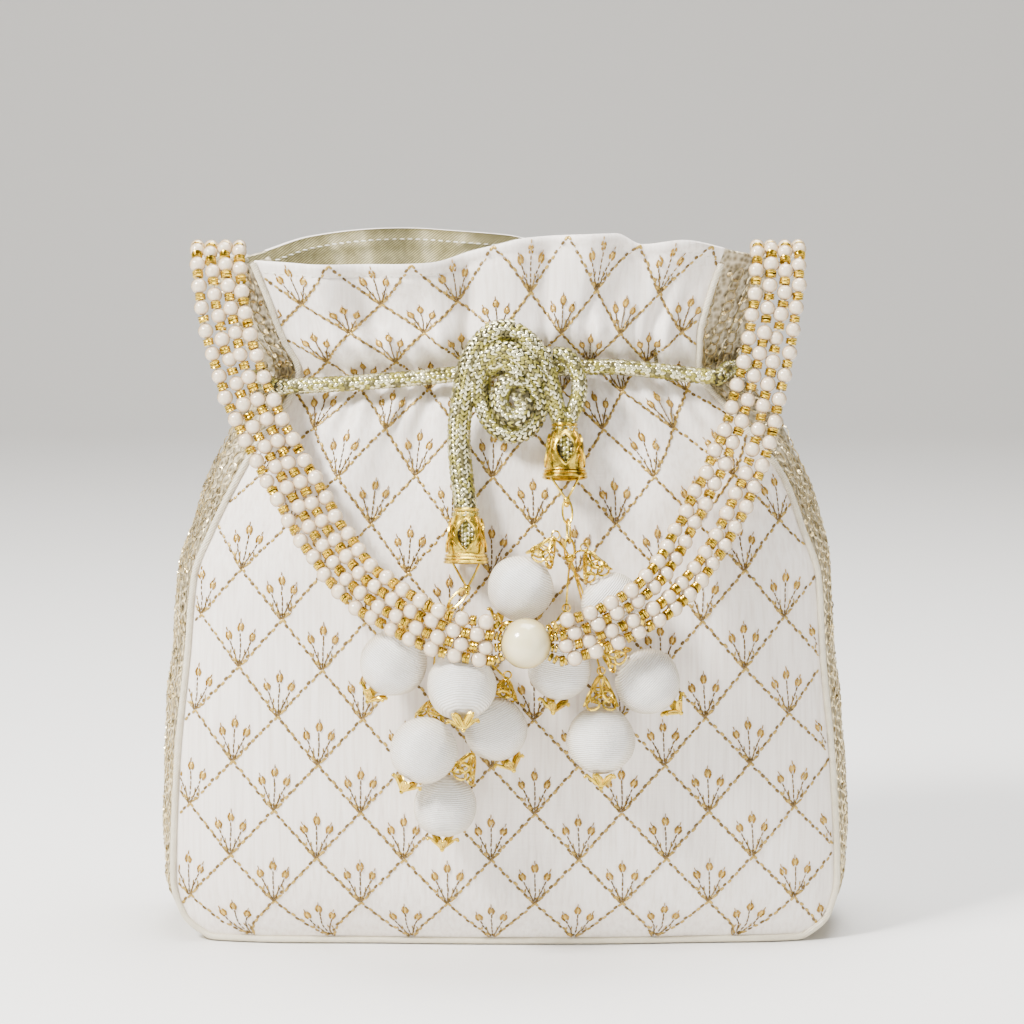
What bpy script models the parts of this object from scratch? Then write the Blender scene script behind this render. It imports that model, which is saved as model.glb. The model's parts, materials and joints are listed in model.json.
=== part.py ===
"""Potli bag: a drawstring pouch with a beaded handle and two ball tassels.

The bag stands on its base, its front faces -Y, and the origin is the middle of the
base. Every size is worked out from the constants below; the tables are in millimetres.
"""
import bpy
import bmesh
import math
from mathutils import Vector, Matrix

MM = 0.001
GAP = 0.3                  # clearance between parts that touch
CLOTH = 1.1                # embroidered panel with its interlining
LINING = 0.9
BASE_CLOTH = 1.2
BOARD = 1.6
PIPING_RADIUS = 1.1
CORD_CLEARANCE = 0.75      # between a cord's side and the flat facets of the cloth it lies on
NECK_CORD_RADIUS = 2.2
TAIL_RADIUS = 2.4
STRAND_RADIUS = 1.8
STRAND_GAP = 0.3
PEARL_RADIUS = 7.7
PEARL_CENTRE = (6.4, -67.5, 104.3)
HINGE_LINE = (-5.5, 220.6)  # y and z of the line that the handle swings on
TAB_SIZE = (18.0, 4.0)     # across four strands, and front to back
TAB_TOP = 218.3
TAB_PLACES = {"left": (-90.5, -1.2, 213.9), "right": (86.0, -1.2, 216.4)}

# One row for each height: height, seam to the left, seam to the right, bulge of the
# left and right gusset, half the depth at the seams, front bulge and back bulge.
PROFILE = [
    (0.0, 92.0, 93.0, 2.0, 2.0, 25.0, 28.0, 28.0),
    (8.0, 102.0, 102.5, 4.0, 4.0, 24.0, 34.0, 34.0),
    (20.0, 105.5, 105.5, 5.0, 5.0, 23.5, 38.0, 38.0),
    (55.0, 104.0, 103.8, 6.0, 6.0, 23.0, 41.0, 41.0),
    (93.0, 100.0, 100.0, 7.0, 6.0, 22.5, 42.0, 42.0),
    (118.0, 97.5, 98.3, 7.0, 6.0, 22.0, 40.0, 39.0),
    (132.0, 92.0, 93.5, 8.0, 8.0, 21.5, 37.0, 36.5),
    (148.0, 84.0, 87.5, 10.0, 8.0, 20.5, 33.0, 32.0),
    (160.0, 77.0, 79.0, 11.0, 10.0, 19.0, 29.5, 28.5),
    (172.0, 68.0, 68.0, 13.0, 13.0, 17.5, 25.5, 25.0),
    (182.0, 64.3, 60.5, 13.5, 13.5, 16.5, 22.5, 22.5),
    (192.0, 69.0, 60.5, 14.0, 15.0, 17.5, 25.0, 25.0),
    (206.0, 74.0, 63.5, 15.0, 18.0, 19.5, 28.0, 28.0),
    (222.0, 80.5, 69.0, 15.0, 20.0, 21.0, 30.0, 30.0),
]
SEAM_LEFT, SEAM_RIGHT, BULGE_LEFT, BULGE_RIGHT, SEAM_DEPTH, FRONT, BACK = range(1, 8)

# Height of the mouth's edge across the front and the back, left seam to right seam.
FRONT_RIM = [(-1.0, 216.5), (-0.65, 215.5), (-0.3, 216.3), (-0.1, 220.5), (0.1, 224.0),
             (0.5, 225.3), (0.62, 221.8), (0.8, 223.2), (1.0, 220.5)]
BACK_RIM = [(-1.0, 217.5), (-0.8, 221.8), (-0.5, 224.4), (-0.2, 223.6), (0.0, 222.2),
            (0.3, 218.2), (0.7, 217.0), (1.0, 218.0)]
GUSSET_DIP = 4.0           # how far the gussets' top edges sink between the seams
RIM_HEIGHT = 222.0
RIM_START = 190.0          # above this height the rows of the grid follow the rim

PIPING_HEIGHTS = [218.0, 208.0, 198.0, 190.0, 182.0, 174.0, 165.0, 154.0, 142.0, 128.0,
                  110.0, 88.0, 62.0, 40.0, 24.0, 14.0, 8.0, 4.5, 2.6]
LEVELS = [1.5, 5.0, 11.0, 22.0, 42.0, 68.0, 94.0, 114.0, 130.0, 144.0, 156.0, 167.0,
          175.0, 182.0, 189.0, 199.0, 211.0, 222.0]
PANEL_COLUMNS = 14
GUSSET_COLUMNS = 4

# Routes as (x, y, z) in millimetres.
HANDLE_LEFT = [(-90.5, *HINGE_LINE), (-90.0, -14.0, 220.4), (-89.4, -21.0, 216.0),
               (-87.6, -25.5, 203.5), (-84.2, -28.5, 188.5), (-79.6, -31.0, 176.0),
               (-74.0, -32.5, 163.5),
               (-66.5, -35.5, 150.5), (-56.0, -43.5, 134.0), (-44.5, -54.5, 121.0),
               (-30.0, -65.0, 112.8), (-14.5, -70.0, 106.8), (6.4, -67.5, 104.3)]
HANDLE_RIGHT = [(86.0, *HINGE_LINE), (85.8, -14.0, 220.6), (85.2, -21.5, 215.0),
                (83.8, -25.0, 201.5), (81.2, -28.0, 187.0), (77.8, -30.5, 174.0),
                (74.4, -32.5, 161.0),
                (67.5, -36.5, 145.5), (56.5, -48.0, 127.5), (44.0, -63.0, 116.5),
                (29.5, -67.0, 109.0), (17.0, -69.0, 105.2), (6.4, -67.5, 104.3)]
ANCHOR_PITCH = 4.4         # distance between strands at the rim
PEARL_PITCH = 3.95         # and where they meet the large pearl
RIGHT_SPREAD = 3.0         # the right strands part in two pairs half way down

TAIL_LEFT = [(-10.4, -35.6, 190.0), (-11.6, -34.6, 181.0), (-12.6, -34.2, 170.0),
             (-13.2, -36.2, 158.0), (-13.0, -40.2, 148.0), (-12.1, -42.6, 142.6)]
TAIL_RIGHT = [(16.4, -35.0, 190.4), (20.6, -35.2, 188.2), (22.4, -34.8, 181.5),
              (20.8, -34.8, 173.8), (18.7, -35.4, 168.2)]
KNOT_CENTRE = (3.2, -33.8, 176.5)
KNOT_RADII = (9.6, 4.9, 17.5)
NECK_HEIGHTS = [(-1.0, 177.5), (-0.5, 180.0), (0.0, 183.0), (0.5, 184.0), (1.0, 180.5)]
NECK_BACK_HEIGHT = 179.5   # the cord's height on the back panel and on each gusset
NECK_LEFT_HEIGHT = 178.0
NECK_RIGHT_HEIGHT = 182.5
NECK_STARTS = (-0.105, 0.235)  # where the cord leaves the knot to the left and right

CAP_PROFILE = [(3.5, 0.0), (3.5, 2.2), (5.4, 5.0), (6.1, 10.5), (5.7, 14.2), (6.5, 15.2),
               (6.5, 16.4)]
END_CAPS = {"left": ((-11.9, -43.0, 141.9), (-11.9, -46.0, 125.7)),
            "right": ((18.4, -36.2, 167.3), (18.5, -40.2, 151.2))}
LINKS = {"left": [(-11.9, -46.4, 124.9), (-13.2, -47.4, 118.5), (-17.0, -48.8, 112.6),
                  (-21.0, -50.0, 108.0)],
         "right": [(18.6, -40.4, 150.4), (18.9, -42.6, 144.0), (19.4, -45.6, 136.0),
                   (20.0, -48.4, 127.5)]}
LINK_RADIUS = 1.1

# Thread-wrapped balls: centre, radius, direction of the top cap and of the bottom cap.
BALLS = {
    "left": [
        ((-34.2, -54.0, 95.8), 10.6, (0.5, 0.1, 0.85), (-0.55, 0.0, -0.84)),
        ((-13.2, -62.6, 90.3), 10.9, (0.1, 0.6, 0.8), (0.05, -0.6, -0.8)),
        ((-24.8, -60.6, 70.0), 10.6, (-0.25, 0.35, 0.9), (-0.47, -0.1, -0.88)),
        ((-2.6, -52.4, 74.6), 10.1, (0.35, 0.1, 0.93), (0.38, 0.0, -0.92)),
        ((-18.6, -52.2, 50.6), 10.1, (0.48, 0.1, 0.88), (-0.06, 0.0, -1.0)),
    ],
    "right": [
        ((4.9, -52.0, 118.6), 10.5, (0.54, 0.0, 0.84), (-0.54, 0.0, -0.84)),
        ((32.8, -51.4, 113.8), 10.5, (-0.44, 0.0, 0.9), (0.75, 0.0, -0.66)),
        ((16.9, -52.6, 93.6), 10.0, (0.1, 0.0, 1.0), (-0.15, 0.0, -0.99)),
        ((29.5, -53.4, 71.6), 10.9, (0.0, 0.0, 1.0), (0.0, -0.3, -0.95)),
        ((43.8, -52.6, 89.8), 10.5, (-0.78, 0.0, 0.62), (0.72, 0.0, -0.69)),
    ],
}
BOTTOM_CAP_WIDTH = 3.9
TOP_CAP_WIDTH = 4.4
TOP_CAP_HEIGHT = 6.0


def smooth_step(low, high, value):
    """Rise from 0 to 1 between low and high."""
    t = min(max((value - low) / (high - low), 0.0), 1.0)
    return t * t * (3.0 - 2.0 * t)


def interpolate(rows, key, column=1):
    """Read a smooth curve through the rows at key (cubic, with limited slopes)."""
    keys = [row[0] for row in rows]
    values = [row[column] for row in rows]
    key = min(max(key, keys[0]), keys[-1])
    i = max(k for k in range(len(keys) - 1) if keys[k] <= key)
    steps = [(values[k + 1] - values[k]) / (keys[k + 1] - keys[k]) for k in range(len(keys) - 1)]

    def slope(k):
        if k in (0, len(keys) - 1):
            return steps[min(k, len(steps) - 1)]
        before, after = steps[k - 1], steps[k]
        return 0.0 if before * after <= 0.0 else 2.0 * before * after / (before + after)

    width = keys[i + 1] - keys[i]
    t = (key - keys[i]) / width
    return (values[i] * (1 + 2 * t) * (1 - t) ** 2 + values[i + 1] * t * t * (3 - 2 * t)
            + width * (slope(i) * t * (1 - t) ** 2 - slope(i + 1) * t * t * (1 - t)))


def crown(u):
    """How far a panel stands out at u, from 1 at its middle to 0 at its seams."""
    return 0.45 * (1.0 - abs(u) ** 2) + 0.55 * (1.0 - abs(u) ** 7)


def panel_point(side, u, z, inset):
    """A point of the front (side -1) or back (side 1) panel; u runs from -1 to 1."""
    reach = interpolate(PROFILE, z, SEAM_LEFT if u < 0 else SEAM_RIGHT) - inset
    seam = interpolate(PROFILE, z, SEAM_DEPTH) - inset
    bulge = interpolate(PROFILE, z, FRONT if side < 0 else BACK) - inset
    return Vector((u * reach, side * (seam + (bulge - seam) * crown(u)), z))


def gusset_point(side, w, z, inset):
    """A point of the left (side -1) or right (side 1) gusset; w runs front to back."""
    reach = interpolate(PROFILE, z, SEAM_LEFT if side < 0 else SEAM_RIGHT) - inset
    bulge = interpolate(PROFILE, z, BULGE_LEFT if side < 0 else BULGE_RIGHT)
    seam = interpolate(PROFILE, z, SEAM_DEPTH) - inset
    return Vector((side * (reach + bulge * (1.0 - w * w)), w * seam, z))


def gusset_rim(side, w):
    """Height of a gusset's top edge at w."""
    u = float(side)
    front, back = interpolate(FRONT_RIM, u), interpolate(BACK_RIM, u)
    return front + (back - front) * (w + 1.0) / 2.0 - GUSSET_DIP * (1.0 - w * w)


def lifted(level, rim, trim=0.0):
    """Move a grid row so that the top row meets the rim."""
    return level + (rim - trim - RIM_HEIGHT) * smooth_step(RIM_START, RIM_HEIGHT, level)


def columns(count):
    """Positions from -1 to 1, closer together near the seams."""
    return [math.sin(math.pi / 2 * (-1 + 2 * k / count)) for k in range(count + 1)]


def add_object(name, mesh, colour, roughness, metallic=0.0, smooth=True):
    """Link a mesh as a named object with its own Principled material."""
    material = bpy.data.materials.new(name + "_material")
    material.use_nodes = True
    shader = material.node_tree.nodes["Principled BSDF"]
    shader.inputs["Base Color"].default_value = (*colour, 1.0)
    shader.inputs["Roughness"].default_value = roughness
    shader.inputs["Metallic"].default_value = metallic
    mesh.materials.append(material)
    if smooth:
        mesh.shade_smooth()
        mesh.set_sharp_from_angle(angle=math.radians(40))
    item = bpy.data.objects.new(name, mesh)
    bpy.context.scene.collection.objects.link(item)
    return item


def mesh_from(name, points, faces):
    """Make a closed mesh from points in millimetres, with its faces turned outward."""
    mesh = bpy.data.meshes.new(name)
    mesh.from_pydata([tuple(Vector(p) * MM) for p in points], [], faces)
    shape = bmesh.new()
    shape.from_mesh(mesh)
    bmesh.ops.triangulate(shape, faces=shape.faces)
    bmesh.ops.recalc_face_normals(shape, faces=shape.faces)
    if shape.calc_volume(signed=True) < 0:
        bmesh.ops.reverse_faces(shape, faces=shape.faces)
    shape.to_mesh(mesh)
    shape.free()
    return mesh


def shell(outer, inner):
    """Points and faces of a sheet between two grids of the same size."""
    rows, width = len(outer), len(outer[0])
    points = [p for grid in (outer, inner) for row in grid for p in row]
    half = rows * width
    faces = []
    for r in range(rows - 1):
        for c in range(width - 1):
            a = r * width + c
            faces.append((a, a + 1, a + width + 1, a + width))
            faces.append((half + a, half + a + width, half + a + width + 1, half + a + 1))
    edge = [c for c in range(width)]
    edge += [r * width + width - 1 for r in range(1, rows)]
    edge += [(rows - 1) * width + c for c in range(width - 2, -1, -1)]
    edge += [r * width for r in range(rows - 2, 0, -1)]
    for here, there in zip(edge, edge[1:] + edge[:1]):
        faces.append((here, half + here, half + there, there))
    return points, faces


def make_panel(name, side, rim):
    """An embroidered front or back panel."""
    def grid(inset):
        rows = []
        for level in LEVELS:
            row = []
            for u in columns(PANEL_COLUMNS):
                point = panel_point(side, u, lifted(level, interpolate(rim, u)), inset)
                point.y += side * GAP / 2
                row.append(point)
            rows.append(row)
        return rows
    add_object(name, mesh_from(name, *shell(grid(0.0), grid(CLOTH))), (0.86, 0.80, 0.72), 0.55)


def make_gusset(name, side):
    """A lace-covered side gusset, pushed in between the two panels."""
    def grid(inset):
        rows = []
        for level in LEVELS:
            row = []
            for w in columns(GUSSET_COLUMNS):
                point = gusset_point(side, w, lifted(level, gusset_rim(side, w)), inset)
                point.y -= GAP / 2 * w
                row.append(point)
            rows.append(row)
        return rows
    add_object(name, mesh_from(name, *shell(grid(0.0), grid(CLOTH))), (0.52, 0.46, 0.34), 0.6)


def section_loop(level, inset, trim=None):
    """The closed outline of the bag at one grid row, counter-clockwise from above."""
    def height(rim):
        return level if trim is None else lifted(level, rim, trim)
    across = columns(PANEL_COLUMNS)
    deep = columns(GUSSET_COLUMNS)
    loop = [panel_point(-1, u, height(interpolate(FRONT_RIM, u)), inset) for u in across]
    loop += [gusset_point(1, w, height(gusset_rim(1, w)), inset) for w in deep[1:-1]]
    loop += [panel_point(1, u, height(interpolate(BACK_RIM, u)), inset)
             for u in reversed(across)]
    loop += [gusset_point(-1, w, height(gusset_rim(-1, w)), inset)
             for w in reversed(deep[1:-1])]
    return loop


def bridge(first, second, count):
    """Faces between two rings of count points that start at first and second."""
    return [(first + k, first + (k + 1) % count, second + (k + 1) % count, second + k)
            for k in range(count)]


def make_lining():
    """The lining: an open pouch inside the panels, with its own floor."""
    outer_inset = CLOTH + GAP
    floor = BASE_CLOTH + GAP + BOARD + GAP
    walls = [level for level in LEVELS if level > floor + LINING]
    rings = [section_loop(floor, outer_inset + GAP)]
    rings += [section_loop(level, outer_inset, 0.6) for level in walls]
    rings += [section_loop(level, outer_inset + LINING, 0.6) for level in reversed(walls)]
    inner_floor = section_loop(walls[0], outer_inset + LINING, 0.6)
    rings.append([Vector((p.x * 0.985, p.y * 0.96, floor + LINING)) for p in inner_floor])
    count = len(rings[0])
    points = [p for ring in rings for p in ring]
    faces = []
    for r in range(len(rings) - 1):
        faces += bridge(r * count, (r + 1) * count, count)
    for ring, height in ((0, floor), (len(rings) - 1, floor + LINING)):
        points.append(Vector((0.0, 0.0, height)))
        start = ring * count
        faces += [(start + k, start + (k + 1) % count, len(points) - 1) for k in range(count)]
    add_object("lining", mesh_from("lining", points, faces), (0.45, 0.40, 0.22), 0.6)


def make_plate(name, bottom, thickness, inset, colour):
    """A flat plate with the outline of the bag's base."""
    lower = section_loop(0.0, inset)
    count = len(lower)
    points = [Vector((p.x, p.y, bottom + rise)) for rise in (0.0, thickness) for p in lower]
    faces = bridge(0, count, count)
    for ring, height in ((0, bottom), (1, bottom + thickness)):
        points.append(Vector((0.0, 0.0, height)))
        start = ring * count
        faces += [(start + k, start + (k + 1) % count, len(points) - 1) for k in range(count)]
    add_object(name, mesh_from(name, points, faces), colour, 0.8, smooth=False)


def smooth_route(route, spacing):
    """Even points along a Catmull-Rom curve through the route's own points."""
    knots = [Vector(p) for p in route]
    knots = [2 * knots[0] - knots[1]] + knots + [2 * knots[-1] - knots[-2]]
    fine = []
    for a, b, c, d in zip(knots, knots[1:], knots[2:], knots[3:]):
        for k in range(12):
            t = k / 12
            fine.append(0.5 * (2 * b + (c - a) * t + (2 * a - 5 * b + 4 * c - d) * t * t
                               + (3 * b - a - 3 * c + d) * t ** 3))
    fine.append(knots[-2])
    lengths = [0.0]
    for here, there in zip(fine, fine[1:]):
        lengths.append(lengths[-1] + (there - here).length)
    count = max(2, round(lengths[-1] / spacing))
    points, k = [], 0
    for step in range(count + 1):
        goal = lengths[-1] * step / count
        while k < len(fine) - 2 and lengths[k + 1] < goal:
            k += 1
        part = (goal - lengths[k]) / max(lengths[k + 1] - lengths[k], 1e-9)
        points.append(fine[k].lerp(fine[k + 1], min(part, 1.0)))
    return points


def make_tube(name, points, radius, colour, roughness, metallic=0.0, closed=False, sides=2):
    """A round tube along points in millimetres, as a bevelled curve with filled caps."""
    curve = bpy.data.curves.new(name, "CURVE")
    curve.dimensions = "3D"
    curve.bevel_depth = radius * MM
    curve.bevel_resolution = sides
    curve.use_fill_caps = not closed
    spline = curve.splines.new("POLY")
    spline.points.add(len(points) - 1)
    for spot, point in zip(spline.points, points):
        spot.co = (*(Vector(point) * MM), 1.0)
    spline.use_cyclic_u = closed
    spline.use_smooth = True
    material = bpy.data.materials.new(name + "_material")
    material.use_nodes = True
    shader = material.node_tree.nodes["Principled BSDF"]
    shader.inputs["Base Color"].default_value = (*colour, 1.0)
    shader.inputs["Roughness"].default_value = roughness
    shader.inputs["Metallic"].default_value = metallic
    curve.materials.append(material)
    item = bpy.data.objects.new(name, curve)
    bpy.context.scene.collection.objects.link(item)
    return item


def make_piping(name, side, rim):
    """Cream piping along one panel's seam: down one side, along the base and up."""
    reach = PIPING_RADIUS + CORD_CLEARANCE
    path = []
    top = min(interpolate(rim, -1.0), interpolate(rim, 1.0)) - 0.5
    for height in PIPING_HEIGHTS:
        corner = panel_point(side, -1.0, min(height, top), 0.0)
        path.append(corner + reach * Vector((-0.76, side * 0.65, 0.0)))
    for u in columns(10)[1:-1]:
        edge = panel_point(side, u, 1.5, 0.0)
        path.append(Vector((edge.x, edge.y + side * reach, PIPING_RADIUS + 0.25)))
    for height in reversed(PIPING_HEIGHTS):
        corner = panel_point(side, 1.0, min(height, top), 0.0)
        path.append(corner + reach * Vector((0.76, side * 0.65, 0.0)))
    make_tube(name, path, PIPING_RADIUS, (0.88, 0.84, 0.74), 0.5, sides=1)


def make_neck_cord():
    """The drawcord round the neck, from the knot's left side to its right side."""
    reach = NECK_CORD_RADIUS + CORD_CLEARANCE

    def over(u):
        return -(reach + (2 * PIPING_RADIUS + 0.8) * abs(u) ** 8)

    path = []
    for k in range(8):
        u = NECK_STARTS[0] - (1 + NECK_STARTS[0]) * math.sin(math.pi / 2 * k / 7)
        path.append(panel_point(-1, u, interpolate(NECK_HEIGHTS, u), over(u)))
    for w in (-0.7, -0.35, 0.0, 0.35, 0.7):
        path.append(gusset_point(-1, w, NECK_LEFT_HEIGHT, over(w)))
    for u in columns(14):
        path.append(panel_point(1, u, NECK_BACK_HEIGHT, over(u)))
    for w in (0.7, 0.35, 0.0, -0.35, -0.7):
        path.append(gusset_point(1, w, NECK_RIGHT_HEIGHT, over(w)))
    for k in range(7, -1, -1):
        u = NECK_STARTS[1] + (1 - NECK_STARTS[1]) * math.sin(math.pi / 2 * k / 7)
        path.append(panel_point(-1, u, interpolate(NECK_HEIGHTS, u), over(u)))
    make_tube("drawcord_neck", path, NECK_CORD_RADIUS, (0.60, 0.55, 0.32), 0.45, 0.6)


def make_knot():
    """The drawcord's rosette knot."""
    shape = bmesh.new()
    bmesh.ops.create_uvsphere(shape, u_segments=14, v_segments=10, radius=1.0)
    scale = Matrix.Diagonal((*(r * MM for r in KNOT_RADII), 1.0))
    place = Matrix.Translation(Vector(KNOT_CENTRE) * MM)
    bmesh.ops.transform(shape, matrix=place @ scale, verts=shape.verts)
    bmesh.ops.triangulate(shape, faces=shape.faces)
    mesh = bpy.data.meshes.new("drawcord_knot")
    shape.to_mesh(mesh)
    shape.free()
    add_object("drawcord_knot", mesh, (0.60, 0.55, 0.32), 0.45, 0.6)


def strand_path(route, side, index, spread):
    """One of the handle's four strands, beside the handle's middle route."""
    middle = smooth_route(route, 5.0)
    rank = index - 1.5
    points = []
    for k, here in enumerate(middle):
        t = k / (len(middle) - 1)
        before, after = middle[max(k - 1, 0)], middle[min(k + 1, len(middle) - 1)]
        run = (after - before).normalized()
        across = Vector((run.z, 0.0, -run.x)).normalized() * side
        across = Vector((-side, 0.0, 0.0)).lerp(across, smooth_step(0.08, 0.2, t)).normalized()
        across = across.lerp(Vector((0.0, 0.0, -1.0)), smooth_step(0.75, 0.95, t)).normalized()
        pitch = ANCHOR_PITCH + (PEARL_PITCH - ANCHOR_PITCH) * smooth_step(0.5, 0.9, t)
        parting = spread * math.sin(math.pi * min(max((t - 0.25) / 0.6, 0.0), 1.0)) ** 2
        offset = rank * pitch + math.copysign(parting / 2, rank)
        points.append(here + across * offset)
    limit = PEARL_RADIUS + STRAND_GAP + 0.25
    centre = Vector(PEARL_CENTRE)
    lift = max(abs(rank * PEARL_PITCH) - STRAND_RADIUS, 0.0)
    stand = math.sqrt(limit * limit - lift * lift)
    kept = [p for p in points if abs(p.x - centre.x) > stand]
    return smooth_route([tuple(p) for p in kept[::2]] + [tuple(kept[-1])], 11.0)


def make_handle():
    """Four beaded strands each side of one large pearl."""
    for name, route, side, spread in (("left", HANDLE_LEFT, 1.0, 0.0),
                                      ("right", HANDLE_RIGHT, -1.0, RIGHT_SPREAD)):
        for index in range(4):
            make_tube(f"handle_strand_{name}_{index + 1}",
                      strand_path(route, side, index, spread), STRAND_RADIUS,
                      (0.92, 0.84, 0.74), 0.3)
    make_ball("centre_pearl", PEARL_CENTRE, PEARL_RADIUS, (0.93, 0.89, 0.76), 0.15, 16, 12)


def make_ball(name, centre, radius, colour, roughness, around=12, tall=8):
    """A round ball."""
    shape = bmesh.new()
    bmesh.ops.create_uvsphere(shape, u_segments=around, v_segments=tall, radius=radius * MM)
    bmesh.ops.translate(shape, verts=shape.verts, vec=Vector(centre) * MM)
    bmesh.ops.triangulate(shape, faces=shape.faces)
    mesh = bpy.data.meshes.new(name)
    shape.to_mesh(mesh)
    shape.free()
    add_object(name, mesh, colour, roughness)


def make_turned(name, base, direction, profile, colour, roughness, sides=8):
    """Turn a closed profile of (radius, distance) about a line from base."""
    axis = Vector(direction).normalized()
    turn = axis.to_track_quat("Z", "Y")
    points, faces = [], []
    rings = [p for p in profile if p[0] > 0]
    for radius, distance in rings:
        for k in range(sides):
            angle = 2 * math.pi * k / sides
            local = Vector((radius * math.cos(angle), radius * math.sin(angle), distance))
            points.append(Vector(base) + turn @ local)
    for r in range(len(rings) - 1):
        faces += bridge(r * sides, (r + 1) * sides, sides)
    for ring, distance in ((0, profile[0][1]), (len(rings) - 1, profile[-1][1])):
        points.append(Vector(base) + axis * distance)
        faces += [(ring * sides + k, ring * sides + (k + 1) % sides, len(points) - 1)
                  for k in range(sides)]
    add_object(name, mesh_from(name, points, faces), colour, roughness, 1.0)


def make_tassel(side):
    """One tassel: the link under its end cap and five wrapped balls with their caps."""
    gold = (0.85, 0.60, 0.16)
    make_tube(f"tassel_link_{side}", smooth_route(LINKS[side], 4.0), LINK_RADIUS, gold, 0.3, 1.0,
              sides=1)
    for number, (centre, radius, up, down) in enumerate(BALLS[side], 1):
        make_ball(f"ball_{side}_{number}", centre, radius, (0.93, 0.92, 0.90), 0.6, 12, 8)
        bowl = radius + 0.35
        wide = BOTTOM_CAP_WIDTH
        profile = [(0.0, bowl), (wide * 0.55, math.sqrt(bowl ** 2 - (wide * 0.55) ** 2)),
                   (wide, math.sqrt(bowl ** 2 - wide ** 2)),
                   (wide * 0.62, radius + 1.9), (0.9, radius + 3.4), (0.0, radius + 3.4)]
        make_turned(f"bottom_cap_{side}_{number}", centre, down, profile, gold, 0.3, 7)
        wide = TOP_CAP_WIDTH
        profile = [(0.0, bowl), (wide * 0.55, math.sqrt(bowl ** 2 - (wide * 0.55) ** 2)),
                   (wide, math.sqrt(bowl ** 2 - wide ** 2)),
                   (wide * 0.55, radius + TOP_CAP_HEIGHT * 0.5),
                   (1.1, radius + TOP_CAP_HEIGHT), (0.0, radius + TOP_CAP_HEIGHT)]
        make_turned(f"top_cap_{side}_{number}", centre, up, profile, gold, 0.3, 7)


def make_end_cap(side):
    """The bell-shaped metal cap on one end of the drawcord."""
    top, bottom = (Vector(p) for p in END_CAPS[side])
    profile = [(0.0, 0.0)] + CAP_PROFILE + [(0.0, CAP_PROFILE[-1][1])]
    make_turned(f"end_cap_{side}", top, bottom - top, profile, (0.88, 0.66, 0.14), 0.25, 10)


def make_handle_tab(side):
    """The stitched tab that holds four strands on top of a gusset's edge."""
    name = "handle_tab_" + side
    x, y, floor = TAB_PLACES[side]
    shape = bmesh.new()
    bmesh.ops.create_cube(shape, size=1.0)
    size = Matrix.Diagonal((TAB_SIZE[0] * MM, TAB_SIZE[1] * MM, (TAB_TOP - floor) * MM, 1.0))
    place = Matrix.Translation(Vector((x, y, (floor + TAB_TOP) / 2)) * MM)
    bmesh.ops.transform(shape, matrix=place @ size, verts=shape.verts)
    bmesh.ops.bevel(shape, geom=shape.edges, offset=0.5 * MM, segments=1, affect="EDGES")
    bmesh.ops.triangulate(shape, faces=shape.faces)
    mesh = bpy.data.meshes.new(name)
    shape.to_mesh(mesh)
    shape.free()
    add_object(name, mesh, (0.88, 0.84, 0.74), 0.6)


def main():
    for item in list(bpy.data.objects):
        bpy.data.objects.remove(item, do_unlink=True)
    make_panel("front_panel", -1, FRONT_RIM)
    make_panel("back_panel", 1, BACK_RIM)
    make_gusset("gusset_left", -1)
    make_gusset("gusset_right", 1)
    make_plate("base_panel", 0.0, BASE_CLOTH, 0.0, (0.55, 0.50, 0.38))
    make_plate("base_board", BASE_CLOTH + GAP, BOARD, CLOTH + GAP, (0.55, 0.45, 0.33))
    make_lining()
    make_piping("piping_front", -1, FRONT_RIM)
    make_piping("piping_back", 1, BACK_RIM)
    make_neck_cord()
    make_knot()
    cord = (0.60, 0.55, 0.32)
    make_tube("drawcord_tail_left", smooth_route(TAIL_LEFT, 8.0), TAIL_RADIUS, cord, 0.45, 0.6)
    make_tube("drawcord_tail_right", smooth_route(TAIL_RIGHT, 5.0), TAIL_RADIUS, cord, 0.45, 0.6)
    make_handle()
    for side in ("left", "right"):
        make_handle_tab(side)
        make_end_cap(side)
        make_tassel(side)


main()
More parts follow.
